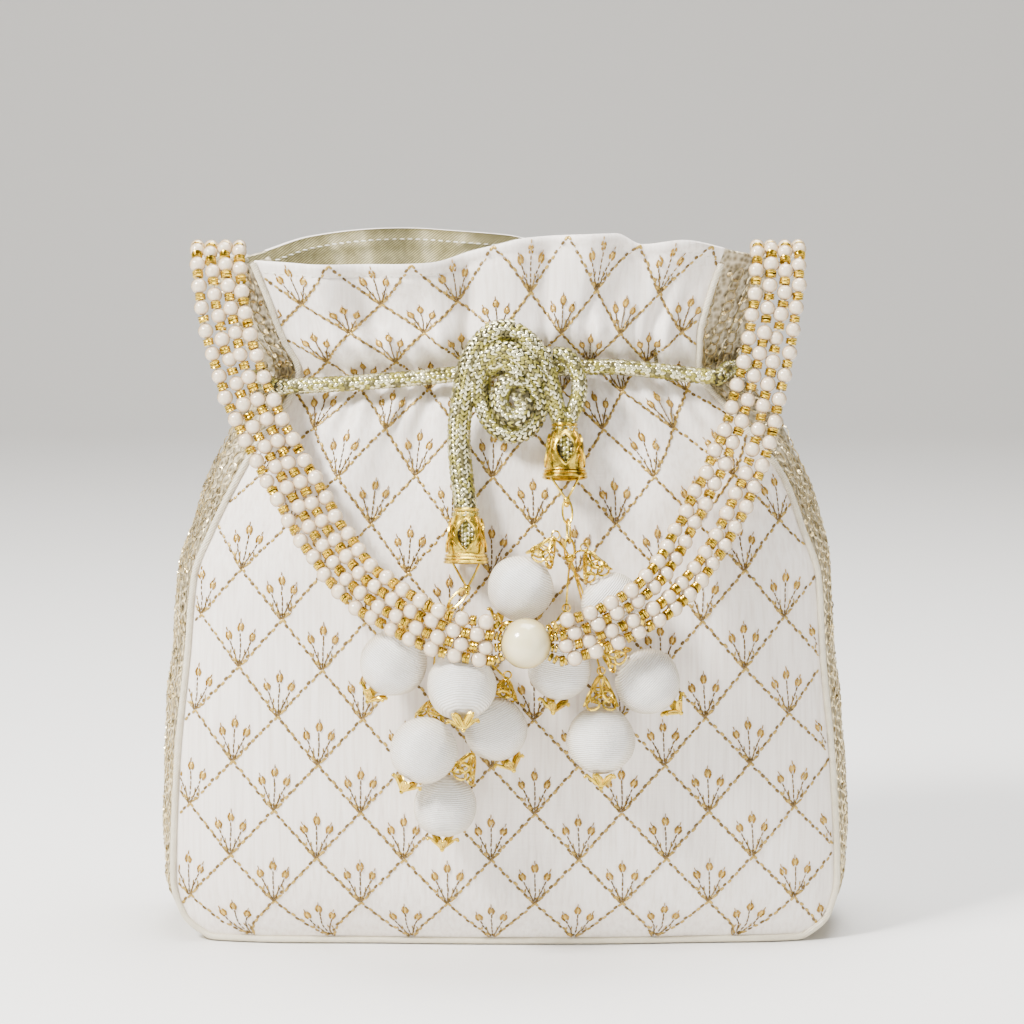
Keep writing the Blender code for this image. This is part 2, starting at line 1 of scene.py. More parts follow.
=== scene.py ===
import json
import math
import bpy
import numpy as np
from mathutils import Vector
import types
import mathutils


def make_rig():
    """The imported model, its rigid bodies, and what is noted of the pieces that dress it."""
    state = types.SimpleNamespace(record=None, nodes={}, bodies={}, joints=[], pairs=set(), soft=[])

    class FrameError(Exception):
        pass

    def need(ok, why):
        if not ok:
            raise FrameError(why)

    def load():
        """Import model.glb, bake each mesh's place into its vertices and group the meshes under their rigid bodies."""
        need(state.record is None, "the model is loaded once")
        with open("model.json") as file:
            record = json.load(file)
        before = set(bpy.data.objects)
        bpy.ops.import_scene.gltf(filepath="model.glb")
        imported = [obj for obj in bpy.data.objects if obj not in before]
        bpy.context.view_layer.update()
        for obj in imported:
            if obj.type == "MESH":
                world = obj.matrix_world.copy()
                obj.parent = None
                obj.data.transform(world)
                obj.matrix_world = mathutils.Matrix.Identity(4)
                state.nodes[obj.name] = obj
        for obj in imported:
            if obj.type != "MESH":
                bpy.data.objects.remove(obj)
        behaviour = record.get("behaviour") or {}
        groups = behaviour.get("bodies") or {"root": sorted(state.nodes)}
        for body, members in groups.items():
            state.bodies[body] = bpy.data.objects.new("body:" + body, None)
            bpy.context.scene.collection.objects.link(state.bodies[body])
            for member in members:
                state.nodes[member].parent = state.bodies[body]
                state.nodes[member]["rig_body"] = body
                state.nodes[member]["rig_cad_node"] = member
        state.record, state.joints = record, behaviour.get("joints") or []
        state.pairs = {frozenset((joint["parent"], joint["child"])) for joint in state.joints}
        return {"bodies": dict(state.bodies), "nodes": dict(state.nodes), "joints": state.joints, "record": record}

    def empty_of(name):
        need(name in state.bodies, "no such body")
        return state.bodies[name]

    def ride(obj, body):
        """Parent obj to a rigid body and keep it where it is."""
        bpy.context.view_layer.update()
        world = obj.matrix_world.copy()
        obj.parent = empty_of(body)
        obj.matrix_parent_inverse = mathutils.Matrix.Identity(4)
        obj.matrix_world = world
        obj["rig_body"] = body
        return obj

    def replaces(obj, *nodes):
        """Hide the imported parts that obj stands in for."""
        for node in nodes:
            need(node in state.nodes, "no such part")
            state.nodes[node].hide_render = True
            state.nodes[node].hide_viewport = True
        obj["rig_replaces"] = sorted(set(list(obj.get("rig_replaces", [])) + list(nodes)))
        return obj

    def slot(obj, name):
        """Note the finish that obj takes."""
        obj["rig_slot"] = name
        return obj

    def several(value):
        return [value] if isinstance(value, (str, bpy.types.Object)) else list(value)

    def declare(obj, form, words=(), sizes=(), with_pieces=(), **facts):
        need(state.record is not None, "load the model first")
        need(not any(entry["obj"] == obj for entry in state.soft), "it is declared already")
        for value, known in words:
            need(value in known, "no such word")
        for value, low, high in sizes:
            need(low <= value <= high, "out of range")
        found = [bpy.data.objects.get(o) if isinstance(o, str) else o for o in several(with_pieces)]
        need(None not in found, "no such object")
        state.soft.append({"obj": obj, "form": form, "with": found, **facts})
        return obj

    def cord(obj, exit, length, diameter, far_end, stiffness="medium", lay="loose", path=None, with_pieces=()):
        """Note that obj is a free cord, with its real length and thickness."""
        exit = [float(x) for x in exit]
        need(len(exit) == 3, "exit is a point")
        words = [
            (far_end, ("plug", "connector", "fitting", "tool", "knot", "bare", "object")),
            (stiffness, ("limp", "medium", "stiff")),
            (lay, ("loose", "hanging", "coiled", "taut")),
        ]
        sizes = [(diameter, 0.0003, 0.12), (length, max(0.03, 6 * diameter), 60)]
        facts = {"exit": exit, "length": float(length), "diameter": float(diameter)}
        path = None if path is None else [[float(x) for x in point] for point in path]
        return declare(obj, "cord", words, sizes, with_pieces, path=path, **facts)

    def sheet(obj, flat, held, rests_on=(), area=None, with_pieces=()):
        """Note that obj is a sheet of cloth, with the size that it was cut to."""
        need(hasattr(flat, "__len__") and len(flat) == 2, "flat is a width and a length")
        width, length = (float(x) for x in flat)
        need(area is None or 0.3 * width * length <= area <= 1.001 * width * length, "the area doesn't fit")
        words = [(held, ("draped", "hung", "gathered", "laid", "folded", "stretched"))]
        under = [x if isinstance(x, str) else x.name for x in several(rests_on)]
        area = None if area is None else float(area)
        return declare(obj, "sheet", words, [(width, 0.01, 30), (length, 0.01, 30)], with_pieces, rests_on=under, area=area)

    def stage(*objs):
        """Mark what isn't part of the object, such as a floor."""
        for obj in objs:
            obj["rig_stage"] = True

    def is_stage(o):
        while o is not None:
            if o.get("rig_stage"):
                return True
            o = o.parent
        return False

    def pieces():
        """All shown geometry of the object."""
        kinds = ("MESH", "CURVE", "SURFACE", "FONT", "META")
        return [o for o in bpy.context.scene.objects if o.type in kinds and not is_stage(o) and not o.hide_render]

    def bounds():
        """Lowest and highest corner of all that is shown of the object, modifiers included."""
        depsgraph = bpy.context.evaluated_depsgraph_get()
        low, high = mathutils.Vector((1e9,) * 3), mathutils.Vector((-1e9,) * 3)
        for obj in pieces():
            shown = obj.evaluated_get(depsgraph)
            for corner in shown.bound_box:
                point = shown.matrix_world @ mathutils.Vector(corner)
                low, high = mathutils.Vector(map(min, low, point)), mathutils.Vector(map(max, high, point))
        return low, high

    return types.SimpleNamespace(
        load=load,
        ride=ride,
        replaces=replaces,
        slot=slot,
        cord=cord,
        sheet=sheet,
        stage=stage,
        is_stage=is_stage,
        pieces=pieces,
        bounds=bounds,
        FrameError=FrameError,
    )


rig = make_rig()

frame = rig.load()
cadBox = [[float(x) for x in corner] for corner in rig.bounds()]
mm = 0.001
dice = np.random.default_rng(11)
print("frame loaded")

# Shape of the pouch, in millimetres. Profile rows: height, seam to the left, seam to the
# right, bulge of the left and right gusset, half the depth at the seams, front, back.
pouch = {
    "profile": [
        (0.0, 92.0, 93.0, 2.0, 2.0, 25.0, 28.0, 28.0),
        (8.0, 102.0, 102.5, 4.0, 4.0, 24.0, 34.0, 34.0),
        (20.0, 105.5, 105.5, 5.0, 5.0, 23.5, 38.0, 38.0),
        (55.0, 104.0, 103.8, 6.0, 6.0, 23.0, 41.0, 41.0),
        (93.0, 100.0, 100.0, 7.0, 6.0, 22.5, 42.0, 42.0),
        (118.0, 97.5, 98.3, 7.0, 6.0, 22.0, 40.0, 39.0),
        (132.0, 92.0, 93.5, 8.0, 8.0, 21.5, 37.0, 36.5),
        (148.0, 84.0, 87.5, 10.0, 8.0, 20.5, 33.0, 32.0),
        (160.0, 77.0, 79.0, 11.0, 10.0, 19.0, 29.5, 28.5),
        (172.0, 68.0, 68.0, 13.0, 13.0, 17.5, 25.5, 25.0),
        (182.0, 64.3, 60.5, 13.5, 13.5, 16.5, 22.5, 22.5),
        (192.0, 69.0, 60.5, 14.0, 15.0, 17.5, 25.0, 25.0),
        (206.0, 74.0, 63.5, 15.0, 18.0, 19.5, 28.0, 28.0),
        (222.0, 80.5, 69.0, 15.0, 20.0, 21.0, 30.0, 30.0)],
    "frontRim": [(-1.0, 216.5), (-0.65, 215.5), (-0.3, 216.3), (-0.1, 220.5), (0.1, 224.0),
                 (0.5, 225.3), (0.62, 221.8), (0.8, 223.2), (1.0, 220.5)],
    "backRim": [(-1.0, 217.5), (-0.8, 221.8), (-0.5, 224.4), (-0.2, 223.6), (0.0, 222.2),
                (0.3, 218.2), (0.7, 217.0), (1.0, 218.0)],
    "gussetDip": 4.0, "rimHeight": 222.0, "rimStart": 190.0,
    # distance up the cloth, height that it reaches; 13 mm are taken up by the gathers
    "clothRows": [(-2.0, 0.3), (0.0, 2.2), (14.7, 15.4), (29.4, 30.0), (44.1, 45.2), (58.8, 60.3),
                  (73.5, 75.4), (88.2, 90.6), (102.9, 106.0), (117.6, 121.2), (132.3, 136.0),
                  (147.0, 150.4), (161.7, 164.6), (176.4, 176.0), (191.1, 185.0),
                  (205.8, 194.6), (220.5, 206.4), (235.2, 222.0)],
    # distance up the cloth, half its flat width
    "clothHalf": [(-2.0, 102.0), (20.0, 104.5), (100.0, 103.5), (120.0, 101.0), (137.0, 96.5),
                  (160.0, 90.0), (176.0, 86.0), (200.0, 84.0), (235.2, 82.5)],
    "neckHeights": [(-1.0, 177.5), (-0.5, 180.0), (0.0, 183.0), (0.5, 184.0), (1.0, 180.5)],
}

# Folds that start under the drawcord: place across, depth, half width, reach up, reach down.
foldsFront = [
    (-0.94, 2.0, 0.03, 24, 14), (-0.83, 3.6, 0.04, 28, 16), (-0.70, 2.6, 0.03, 18, 22),
    (-0.585, 4.0, 0.042, 26, 16), (-0.47, 2.6, 0.03, 15, 22), (-0.355, 3.8, 0.04, 26, 24),
    (-0.25, 2.4, 0.03, 16, 14), (-0.16, 3.0, 0.03, 30, 12), (0.20, 3.0, 0.032, 30, 18),
    (0.31, 3.4, 0.036, 16, 24), (0.42, 2.6, 0.03, 24, 16), (0.52, 3.6, 0.036, 15, 24),
    (0.64, 2.4, 0.03, 22, 12), (0.765, 3.6, 0.035, 27, 15), (0.89, 3.2, 0.035, 30, 20)]
foldsBack = [
    (-0.92, 2.2, 0.035, 24, 18), (-0.79, 3.6, 0.04, 28, 22), (-0.64, 2.8, 0.035, 18, 24),
    (-0.50, 4.0, 0.045, 26, 18), (-0.36, 2.8, 0.03, 22, 24), (-0.22, 3.8, 0.04, 20, 26),
    (-0.08, 2.6, 0.03, 28, 16), (0.06, 3.8, 0.042, 18, 24), (0.20, 2.8, 0.03, 26, 18),
    (0.34, 3.6, 0.042, 22, 22), (0.48, 2.8, 0.03, 18, 26), (0.62, 4.0, 0.042, 26, 16),
    (0.77, 3.0, 0.035, 20, 24), (0.91, 2.4, 0.035, 24, 18)]

# Puffs of the front above the cord: place across, height, half width, half height, lift.
puffs = [(-0.66, 191, 0.13, 5.5, 2.8), (-0.40, 203, 0.12, 9, -2.6), (-0.15, 196, 0.12, 8, 2.4),
         (0.10, 210, 0.12, 9, -2.2), (0.28, 199, 0.11, 8, 2.6), (0.50, 207, 0.09, 9, -2.4),
         (0.66, 198, 0.08, 9, 2.6), (-0.80, 209, 0.09, 8, 1.8)]

# The rest of the cloth's unevenness: swells as lift, distance from the cord, half height.
cloth = {"foldGain": 1.3, "over": (3.4, 10.0, 6.0), "under": (1.5, -11.0, 7.5),
         "pinch": (-2.2, 0.0, 4.2), "aboveCrumple": 2.1, "aboveWave": 1.9, "belowCrumple": 1.7,
         "slack": 0.55, "backNeck": 179.5,
         "hemLine": (-0.8, -3.6, 0.9), "hemLip": (0.5, -1.4, 1.1)}


def smoothStep(low, high, value):
    t = np.clip((np.asarray(value, float) - low) / (high - low), 0.0, 1.0)
    return t * t * (3.0 - 2.0 * t)


def curveThrough(rows, column=1, count=600):
    keys = [r[0] for r in rows]
    values = [r[column] for r in rows]
    steps = [(values[k + 1] - values[k]) / (keys[k + 1] - keys[k]) for k in range(len(keys) - 1)]
    slopes = [steps[0]]
    for before, after in zip(steps, steps[1:]):
        slopes.append(0.0 if before * after <= 0 else 2 * before * after / (before + after))
    slopes.append(steps[-1])
    xs = np.linspace(keys[0], keys[-1], count)
    ys = []
    for x in xs:
        i = min(max(k for k in range(len(keys)) if keys[k] <= x + 1e-9), len(keys) - 2)
        w = keys[i + 1] - keys[i]
        t = (x - keys[i]) / w
        ys.append(values[i] * (1 + 2 * t) * (1 - t) ** 2 + values[i + 1] * t * t * (3 - 2 * t)
                  + w * (slopes[i] * t * (1 - t) ** 2 - slopes[i + 1] * t * t * (1 - t)))
    ys = np.array(ys)
    return lambda x: np.interp(x, xs, ys)


seamLeft, seamRight, bulgeLeft, bulgeRight, seamDepth, frontDepth, backDepth = [
    curveThrough(pouch["profile"], k) for k in range(1, 8)]
frontRim = curveThrough(pouch["frontRim"])
backRim = curveThrough(pouch["backRim"])
clothHeight = curveThrough(pouch["clothRows"])
clothHalf = curveThrough(pouch["clothHalf"])
neckHeight = curveThrough(pouch["neckHeights"])


def stack(x, y, z):
    return np.stack(np.broadcast_arrays(np.asarray(x, float), np.asarray(y, float),
                                        np.asarray(z, float)), axis=-1)


def ripple(a, b, seeds):
    # a smooth, uneven surface from a few crossing waves, about -1 to 1
    total = 0.0
    for k, (fa, fb, phase) in enumerate(seeds):
        total = total + np.sin(a * fa + b * fb + phase) / (1 + 0.35 * k)
    return total / 2.2


crumple = [(0.19, 0.05, 0.4), (-0.12, 0.16, 1.9), (0.27, -0.11, 3.3), (0.09, 0.31, 5.1),
           (-0.36, 0.14, 0.9)]
softWaves = [(0.062, 0.031, 0.7), (-0.045, 0.069, 2.2), (0.11, -0.052, 4.0), (0.03, 0.12, 1.1)]


def hump(z, base, lift, off, tall):
    return lift * np.exp(-((z - base - off) / tall) ** 2)


def foldDepth(side, u, z):
    # how far the cloth stands out of (or sinks into) the smooth shape, zero at the seams
    depth = 0.0
    middle = neckHeight(u) if side < 0 else cloth["backNeck"] + 0 * u
    rim = frontRim(u) if side < 0 else backRim(u)
    for place, deep, half, up, down in (foldsFront if side < 0 else foldsBack):
        away = np.where(z > middle, (z - middle) / up, (middle - z) / down)
        lean = place * (1 + 0.0009 * (z - middle)) + 0.012 * np.sin(z * 0.19 + 40 * place)
        wide = half * (1 + 0.55 * np.minimum(away, 2.5))
        fold = np.exp(-((u - lean) / wide) ** 2) * np.exp(-away ** 1.7)
        depth = depth - cloth["foldGain"] * deep * fold
    above = smoothStep(181, 196, z)
    below = smoothStep(176, 162, z) * smoothStep(108, 150, z)
    # the cloth swells out over the cord, and less under it
    swell = 1 + 0.35 * np.sin(u * 23.0 + 2.2)
    depth = depth + swell * hump(z, middle, *cloth["over"]) + hump(z, middle, *cloth["under"])
    depth = depth + above * (cloth["aboveCrumple"] * ripple(u * 48, z * 0.42, crumple)
                             + cloth["aboveWave"] * np.sin(u * 16.0 + 0.8 + 0.03 * z))
    for place, height, wide, tall, lift in puffs if side < 0 else []:
        depth = depth + lift * np.exp(-((u - place) / wide) ** 2 - ((z - height) / tall) ** 2)
    depth = depth + below * cloth["belowCrumple"] * ripple(u * 60, z * 0.3, crumple)
    depth = depth + cloth["slack"] * ripple(u * 100, z, softWaves)
    depth = depth + hump(z, middle, *cloth["pinch"])
    # the sewn line under the edge and the lip over it
    depth = depth + hump(z, rim, *cloth["hemLine"]) + hump(z, rim, *cloth["hemLip"])
    return depth * (1 - np.abs(u) ** 8)


def panelPoint(side, u, z, inset):
    u, z = np.asarray(u, float), np.asarray(z, float)
    reach = np.where(u < 0, seamLeft(z), seamRight(z)) - inset
    seam = seamDepth(z) - inset
    bulge = (frontDepth(z) if side < 0 else backDepth(z)) - inset
    crown = 0.45 * (1 - np.abs(u) ** 2) + 0.55 * (1 - np.abs(u) ** 7)
    return stack(u * reach, side * (seam + (bulge - seam) * crown + foldDepth(side, u, z)), z)


def gussetPoint(side, w, z, inset):
    w, z = np.asarray(w, float), np.asarray(z, float)
    reach = (seamLeft(z) if side < 0 else seamRight(z)) - inset
    bulge = bulgeLeft(z) if side < 0 else bulgeRight(z)
    gather = smoothStep(120, 176, z)
    rough = (0.5 + 1.5 * gather) * ripple(w * 34 + 3 * side, z * 0.9, crumple)
    rough = rough + gather * 1.3 * np.sin(w * 12.5 + 0.05 * z) - gather * 1.0
    rough = rough * (1 - np.abs(w) ** 6)
    return stack(side * (reach + bulge * (1 - w * w) + rough), w * (seamDepth(z) - inset), z)


def gussetRim(side, w):
    front, back = frontRim(float(side)), backRim(float(side))
    return front + (back - front) * (w + 1) / 2 - pouch["gussetDip"] * (1 - w * w)


def raised(z, rim):
    return z + (rim - pouch["rimHeight"]) * smoothStep(pouch["rimStart"], pouch["rimHeight"], z)


def clothPoint(side, s, t, inset=0.0):
    # a place on a panel from its flat cloth: s across from the middle, t up from the base
    u = s / clothHalf(t)
    # gathering pulls the pattern about near the neck
    pull = smoothStep(150, 176, t) * (1 - 0.55 * smoothStep(205, 234, t)) * (1 - np.abs(u) ** 6)
    u = np.clip(u + pull * 0.032 * ripple(u * 15 + 2.0, t * 0.14, crumple), -1, 1)
    z = raised(clothHeight(t), frontRim(u) if side < 0 else backRim(u))
    z = z + pull * 1.5 * ripple(u * 11 + 5.0, t * 0.1, softWaves)
    return panelPoint(side, u, z, inset)


def unit(v):
    return v / np.maximum(np.linalg.norm(v, axis=-1, keepdims=True), 1e-9)


def clothFrame(side, s, t):
    here = clothPoint(side, s, t)
    across = clothPoint(side, s + 0.3, t) - clothPoint(side, s - 0.3, t)
    up = clothPoint(side, s, t + 0.3) - clothPoint(side, s, t - 0.3)
    return here, unit(np.cross(across, up) * -side), across / 0.6, up / 0.6


def gridFaces(rows, wide, start=0, closed=False):
    faces = []
    for r in range(rows - 1):
        for c in range(wide if closed else wide - 1):
            a, b = start + r * wide + c, start + r * wide + (c + 1) % wide
            faces.append((a, b, b + wide, a + wide))
    return faces


class Build:
    # collects points and faces, then makes one object of them
    def __init__(self):
        self.points, self.faces, self.mats, self.count = [], [], [], 0

    def add(self, points, faces, material=0):
        points = np.asarray(points, float).reshape(-1, 3)
        self.points.append(points)
        self.faces += [tuple(i + self.count for i in f) for f in faces]
        self.mats += [material] * len(faces)
        self.count += len(points)

    def grains(self, centres, along, up, length, width, height, material=0):
        # small spindles, such as stitches: ten points each
        n = len(centres)
        if n == 0:
            return
        along = unit(along)
        across = unit(np.cross(along, up))
        up = np.cross(across, along)
        shape = [(-0.5, 0, -0.1)] + [(a, c, h) for a in (-0.27, 0.27)
                                     for c, h in ((0.5, 0), (0, 0.6), (-0.5, 0), (0, -0.4))]
        shape.append((0.5, 0, -0.1))
        size = [np.broadcast_to(np.asarray(v, float), n)[:, None] for v in (length, width, height)]
        rows = [centres + along * size[0] * a + across * size[1] * c + up * size[2] * h
                for a, c, h in shape]
        points = np.stack(rows, axis=1).reshape(-1, 3)
        base = [(0, 2, 1), (0, 3, 2), (0, 4, 3), (0, 1, 4), (1, 2, 6, 5), (2, 3, 7, 6),
                (3, 4, 8, 7), (4, 1, 5, 8), (9, 5, 6), (9, 6, 7), (9, 7, 8), (9, 8, 5)]
        self.add(points, [tuple(10 * k + i for i in f) for k in range(n) for f in base], material)

    def tube(self, path, radius, sides=8, closed=False, material=0, flat=1.0, flatUp=None):
        path = np.asarray(path, float)
        n = len(path)
        tangents, normals = pathFrames(path, closed, flatUp)
        others = np.cross(tangents, normals)
        radii = np.broadcast_to(np.asarray(radius, float), n)
        rings = []
        for k in range(sides):
            a = 2 * math.pi * k / sides
            rings.append(path + radii[:, None] * (normals * math.cos(a)
                                                  + others * math.sin(a) * flat))
        points = np.stack(rings, axis=1).reshape(-1, 3)
        faces = gridFaces(n, sides, closed=True)
        if closed:
            last = (n - 1) * sides
            faces += [(last + c, last + (c + 1) % sides, (c + 1) % sides, c) for c in range(sides)]
        else:
            faces += [tuple(range(sides - 1, -1, -1)),
                      tuple((n - 1) * sides + c for c in range(sides))]
        self.add(points, faces, material)

    def ball(self, centre, radius, around=12, tall=8, material=0, axis=(0, 0, 1)):
        turn = np.array(Vector(axis).to_track_quat("Z", "Y").to_matrix())
        points = [(0, 0, radius)]
        for r in range(1, tall):
            a = math.pi * r / tall
            for k in range(around):
                b = 2 * math.pi * k / around
                points.append((radius * math.sin(a) * math.cos(b),
                               radius * math.sin(a) * math.sin(b), radius * math.cos(a)))
        points.append((0, 0, -radius))
        last = len(points) - 1
        faces = [(0, 1 + k, 1 + (k + 1) % around) for k in range(around)]
        faces += [(a, d, c, b) for a, b, c, d in gridFaces(tall - 1, around, 1, True)]
        low = last - around
        faces += [(last, low + (k + 1) % around, low + k) for k in range(around)]
        self.add(np.array(points) @ turn.T + np.array(centre), faces, material)

    def turned(self, base, axis, profile, sides=16, material=0):
        # profile of (radius, distance along the axis), open at both ends
        axis = Vector(axis).normalized()
        turn = np.array(axis.to_track_quat("Z", "Y").to_matrix())
        points = [(r * math.cos(2 * math.pi * k / sides), r * math.sin(2 * math.pi * k / sides), h)
                  for r, h in profile for k in range(sides)]
        self.add(np.array(points) @ turn.T + np.array(base),
                 gridFaces(len(profile), sides, closed=True), material)

    def finish(self, name, materials, body, slotName, sharp=50, replacing=()):
        mesh = bpy.data.meshes.new(name)
        points = np.concatenate(self.points) * mm
        mesh.from_pydata(points.tolist(), [], self.faces)
        for item in materials:
            mesh.materials.append(item)
        mesh.polygons.foreach_set("material_index", self.mats)
        mesh.update()
        mesh.shade_smooth()
        mesh.set_sharp_from_angle(angle=math.radians(sharp))
        piece = bpy.data.objects.new(name, mesh)
        bpy.context.scene.collection.objects.link(piece)
        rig.ride(piece, body)
        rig.slot(piece, slotName)
        if replacing:
            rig.replaces(piece, *replacing)
        return piece


def pathFrames(path, closed=False, firstUp=None):
    path = np.asarray(path, float)
    if closed:
        tangents = np.roll(path, -1, axis=0) - np.roll(path, 1, axis=0)
    else:
        tangents = np.gradient(path, axis=0)
    tangents = unit(tangents)
    start = np.array(firstUp if firstUp is not None else (0.13, -1.0, 0.21), float)
    normals = []
    for k, tangent in enumerate(tangents):
        start = start - tangent * np.dot(start, tangent)
        length = np.linalg.norm(start)
        if length < 1e-6:
            start = np.cross(tangent, (0.3, 0.2, 0.9))
            length = np.linalg.norm(start)
        start = start / length
        normals.append(start.copy())
        if firstUp is not None:
            start = start * 0.6 + np.array(firstUp, float) * 0.4
    return tangents, np.array(normals)


def smoothRoute(route, spacing):
    knots = [np.array(p, float) for p in route]
    knots = [2 * knots[0] - knots[1]] + knots + [2 * knots[-1] - knots[-2]]
    fine = []
    for a, b, c, d in zip(knots, knots[1:], knots[2:], knots[3:]):
        for k in range(12):
            t = k / 12
            fine.append(0.5 * (2 * b + (c - a) * t + (2 * a - 5 * b + 4 * c - d) * t * t
                               + (3 * b - a - 3 * c + d) * t ** 3))
    fine.append(knots[-2])
    fine = np.array(fine)
    steps = np.linalg.norm(np.diff(fine, axis=0), axis=1)
    lengths = np.concatenate([[0], np.cumsum(steps)])
    count = max(2, round(lengths[-1] / spacing))
    goals = np.linspace(0, lengths[-1], count + 1)
    return np.stack([np.interp(goals, lengths, fine[:, k]) for k in range(3)], axis=1)


def lengthOf(path):
    return float(np.linalg.norm(np.diff(np.asarray(path), axis=0), axis=1).sum())


def toMetres(path):
    return [tuple(float(x) * mm for x in p) for p in path]


def newMaterial(name, colour, roughness, metallic=0.0, **more):
    material = bpy.data.materials.new(name)
    material.use_nodes = True
    shader = material.node_tree.nodes["Principled BSDF"]
    shader.inputs["Base Color"].default_value = (*colour, 1)
    shader.inputs["Roughness"].default_value = roughness
    shader.inputs["Metallic"].default_value = metallic
    for key, value in more.items():
        socket = shader.inputs[key.replace("_", " ")]
        socket.default_value = (*value, 1) if isinstance(value, tuple) else value
    return material, material.node_tree, shader


def addNoise(tree, coords, scale, detail=3.0, stretch=(1, 1, 1), roughness=0.55):
    place = tree.nodes.new("ShaderNodeMapping")
    place.inputs["Scale"].default_value = stretch
    tree.links.new(coords, place.inputs["Vector"])
    noise = tree.nodes.new("ShaderNodeTexNoise")
    noise.inputs["Scale"].default_value = scale
    noise.inputs["Detail"].default_value = detail
    noise.inputs["Roughness"].default_value = roughness
    tree.links.new(place.outputs["Vector"], noise.inputs["Vector"])
    return noise.outputs["Fac"]


def addRamp(tree, fac, stops):
    ramp = tree.nodes.new("ShaderNodeValToRGB")
    ramp.color_ramp.elements[0].position = stops[0][0]
    ramp.color_ramp.elements[0].color = (*stops[0][1], 1)
    ramp.color_ramp.elements[1].position = stops[-1][0]
    ramp.color_ramp.elements[1].color = (*stops[-1][1], 1)
    for place, colour in stops[1:-1]:
        ramp.color_ramp.elements.new(place).color = (*colour, 1)
    tree.links.new(fac, ramp.inputs["Fac"])
    return ramp.outputs["Color"]


def addBump(tree, shader, height, distance, strength):
    bump = tree.nodes.new("ShaderNodeBump")
    bump.inputs["Distance"].default_value = distance
    bump.inputs["Strength"].default_value = strength
    tree.links.new(height, bump.inputs["Height"])
    tree.links.new(bump.outputs["Normal"], shader.inputs["Normal"])


def objectCoords(tree):
    return tree.nodes.new("ShaderNodeTexCoord").outputs["Object"]


def waves(tree, coords, direction, scale, distortion=0.0, detailScale=1.0):
    wave = tree.nodes.new("ShaderNodeTexWave")
    wave.bands_direction = direction
    wave.inputs["Scale"].default_value = scale
    wave.inputs["Distortion"].default_value = distortion
    wave.inputs["Detail Scale"].default_value = detailScale
    tree.links.new(coords, wave.inputs["Vector"])
    return wave.outputs["Fac"]


def joined(tree, a, b, kind="ADD"):
    node = tree.nodes.new("ShaderNodeMath")
    node.operation = kind
    tree.links.new(a, node.inputs[0])
    tree.links.new(b, node.inputs[1])
    return node.outputs[0]


def paintMultiplied(tree, shader, colour, shade, amount=1.0):
    mix = tree.nodes.new("ShaderNodeMix")
    mix.data_type = "RGBA"
    mix.blend_type = "MULTIPLY"
    mix.inputs["Factor"].default_value = amount
    tree.links.new(colour, mix.inputs["A"])
    tree.links.new(shade, mix.inputs["B"])
    tree.links.new(mix.outputs["Result"], shader.inputs["Base Color"])


def facingFactor(tree, blend):
    facing = tree.nodes.new("ShaderNodeLayerWeight")
    facing.inputs["Blend"].default_value = blend
    return facing.outputs["Facing"]


def slubSilk():
    # dupion: fine upright threads with thicker slubs
    material, tree, shader = newMaterial("ivory dupion", (0.86, 0.80, 0.75), 0.5,
                                         Sheen_Weight=0.25, Sheen_Roughness=0.4)
    coords = objectCoords(tree)
    slub = addNoise(tree, coords, 900, 2.5, (1.0, 1.0, 0.045))
    weft = addNoise(tree, coords, 1500, 2.0, (0.05, 0.05, 1.0))
    broad = addNoise(tree, coords, 14, 2.0)
    colour = addRamp(tree, slub, [(0.28, (0.79, 0.72, 0.655)), (0.5, (0.89, 0.835, 0.775)),
                                  (0.75, (0.96, 0.92, 0.87))])
    shade = addRamp(tree, broad, [(0.3, (0.95, 0.92, 0.9)), (0.7, (1, 1, 1))])
    paintMultiplied(tree, shader, colour, shade, 0.6)
    addBump(tree, shader, joined(tree, slub, weft), 0.00012, 0.7)
    return material


def threadMaterial(name, colour, roughness=0.4, metallic=0.3, spread=0.25, scale=700):
    material, tree, shader = newMaterial(name, colour, roughness, metallic)
    fac = addNoise(tree, objectCoords(tree), scale, 2.0)
    low = tuple(c * (1 - spread) for c in colour)
    high = tuple(min(1.0, c * (1 + spread)) for c in colour)
    tree.links.new(addRamp(tree, fac, [(0.32, low), (0.68, high)]), shader.inputs["Base Color"])
    addBump(tree, shader, fac, 0.00006, 0.5)
    return material


def laceCloth():
    material, tree, shader = newMaterial("bronze lace ground", (0.50, 0.44, 0.33), 0.45, 0.35)
    coords = objectCoords(tree)
    mesh = tree.nodes.new("ShaderNodeTexVoronoi")
    mesh.inputs["Scale"].default_value = 620
    tree.links.new(coords, mesh.inputs["Vector"])
    colour = addRamp(tree, mesh.outputs["Distance"], [
        (0.0, (0.08, 0.06, 0.03)), (0.35, (0.30, 0.25, 0.15)), (0.8, (0.64, 0.57, 0.42))])
    tree.links.new(colour, shader.inputs["Base Color"])
    addBump(tree, shader, mesh.outputs["Distance"], 0.0004, 0.9)
    return material


def twillSatin(name, dark, light, scale=330, metallic=0.15):
    # diagonal weave
    material, tree, shader = newMaterial(name, light, 0.42, metallic)
    coords = objectCoords(tree)
    place = tree.nodes.new("ShaderNodeMapping")
    place.inputs["Rotation"].default_value = (0, math.radians(38), 0)
    tree.links.new(coords, place.inputs["Vector"])
    line = waves(tree, place.outputs["Vector"], "Z", scale, 1.2)
    grain = addNoise(tree, coords, 420, 2)
    both = joined(tree, line, grain, "MULTIPLY")
    tree.links.new(addRamp(tree, both, [(0.08, dark), (0.6, light)]), shader.inputs["Base Color"])
    addBump(tree, shader, line, 0.00015, 0.6)
    return material


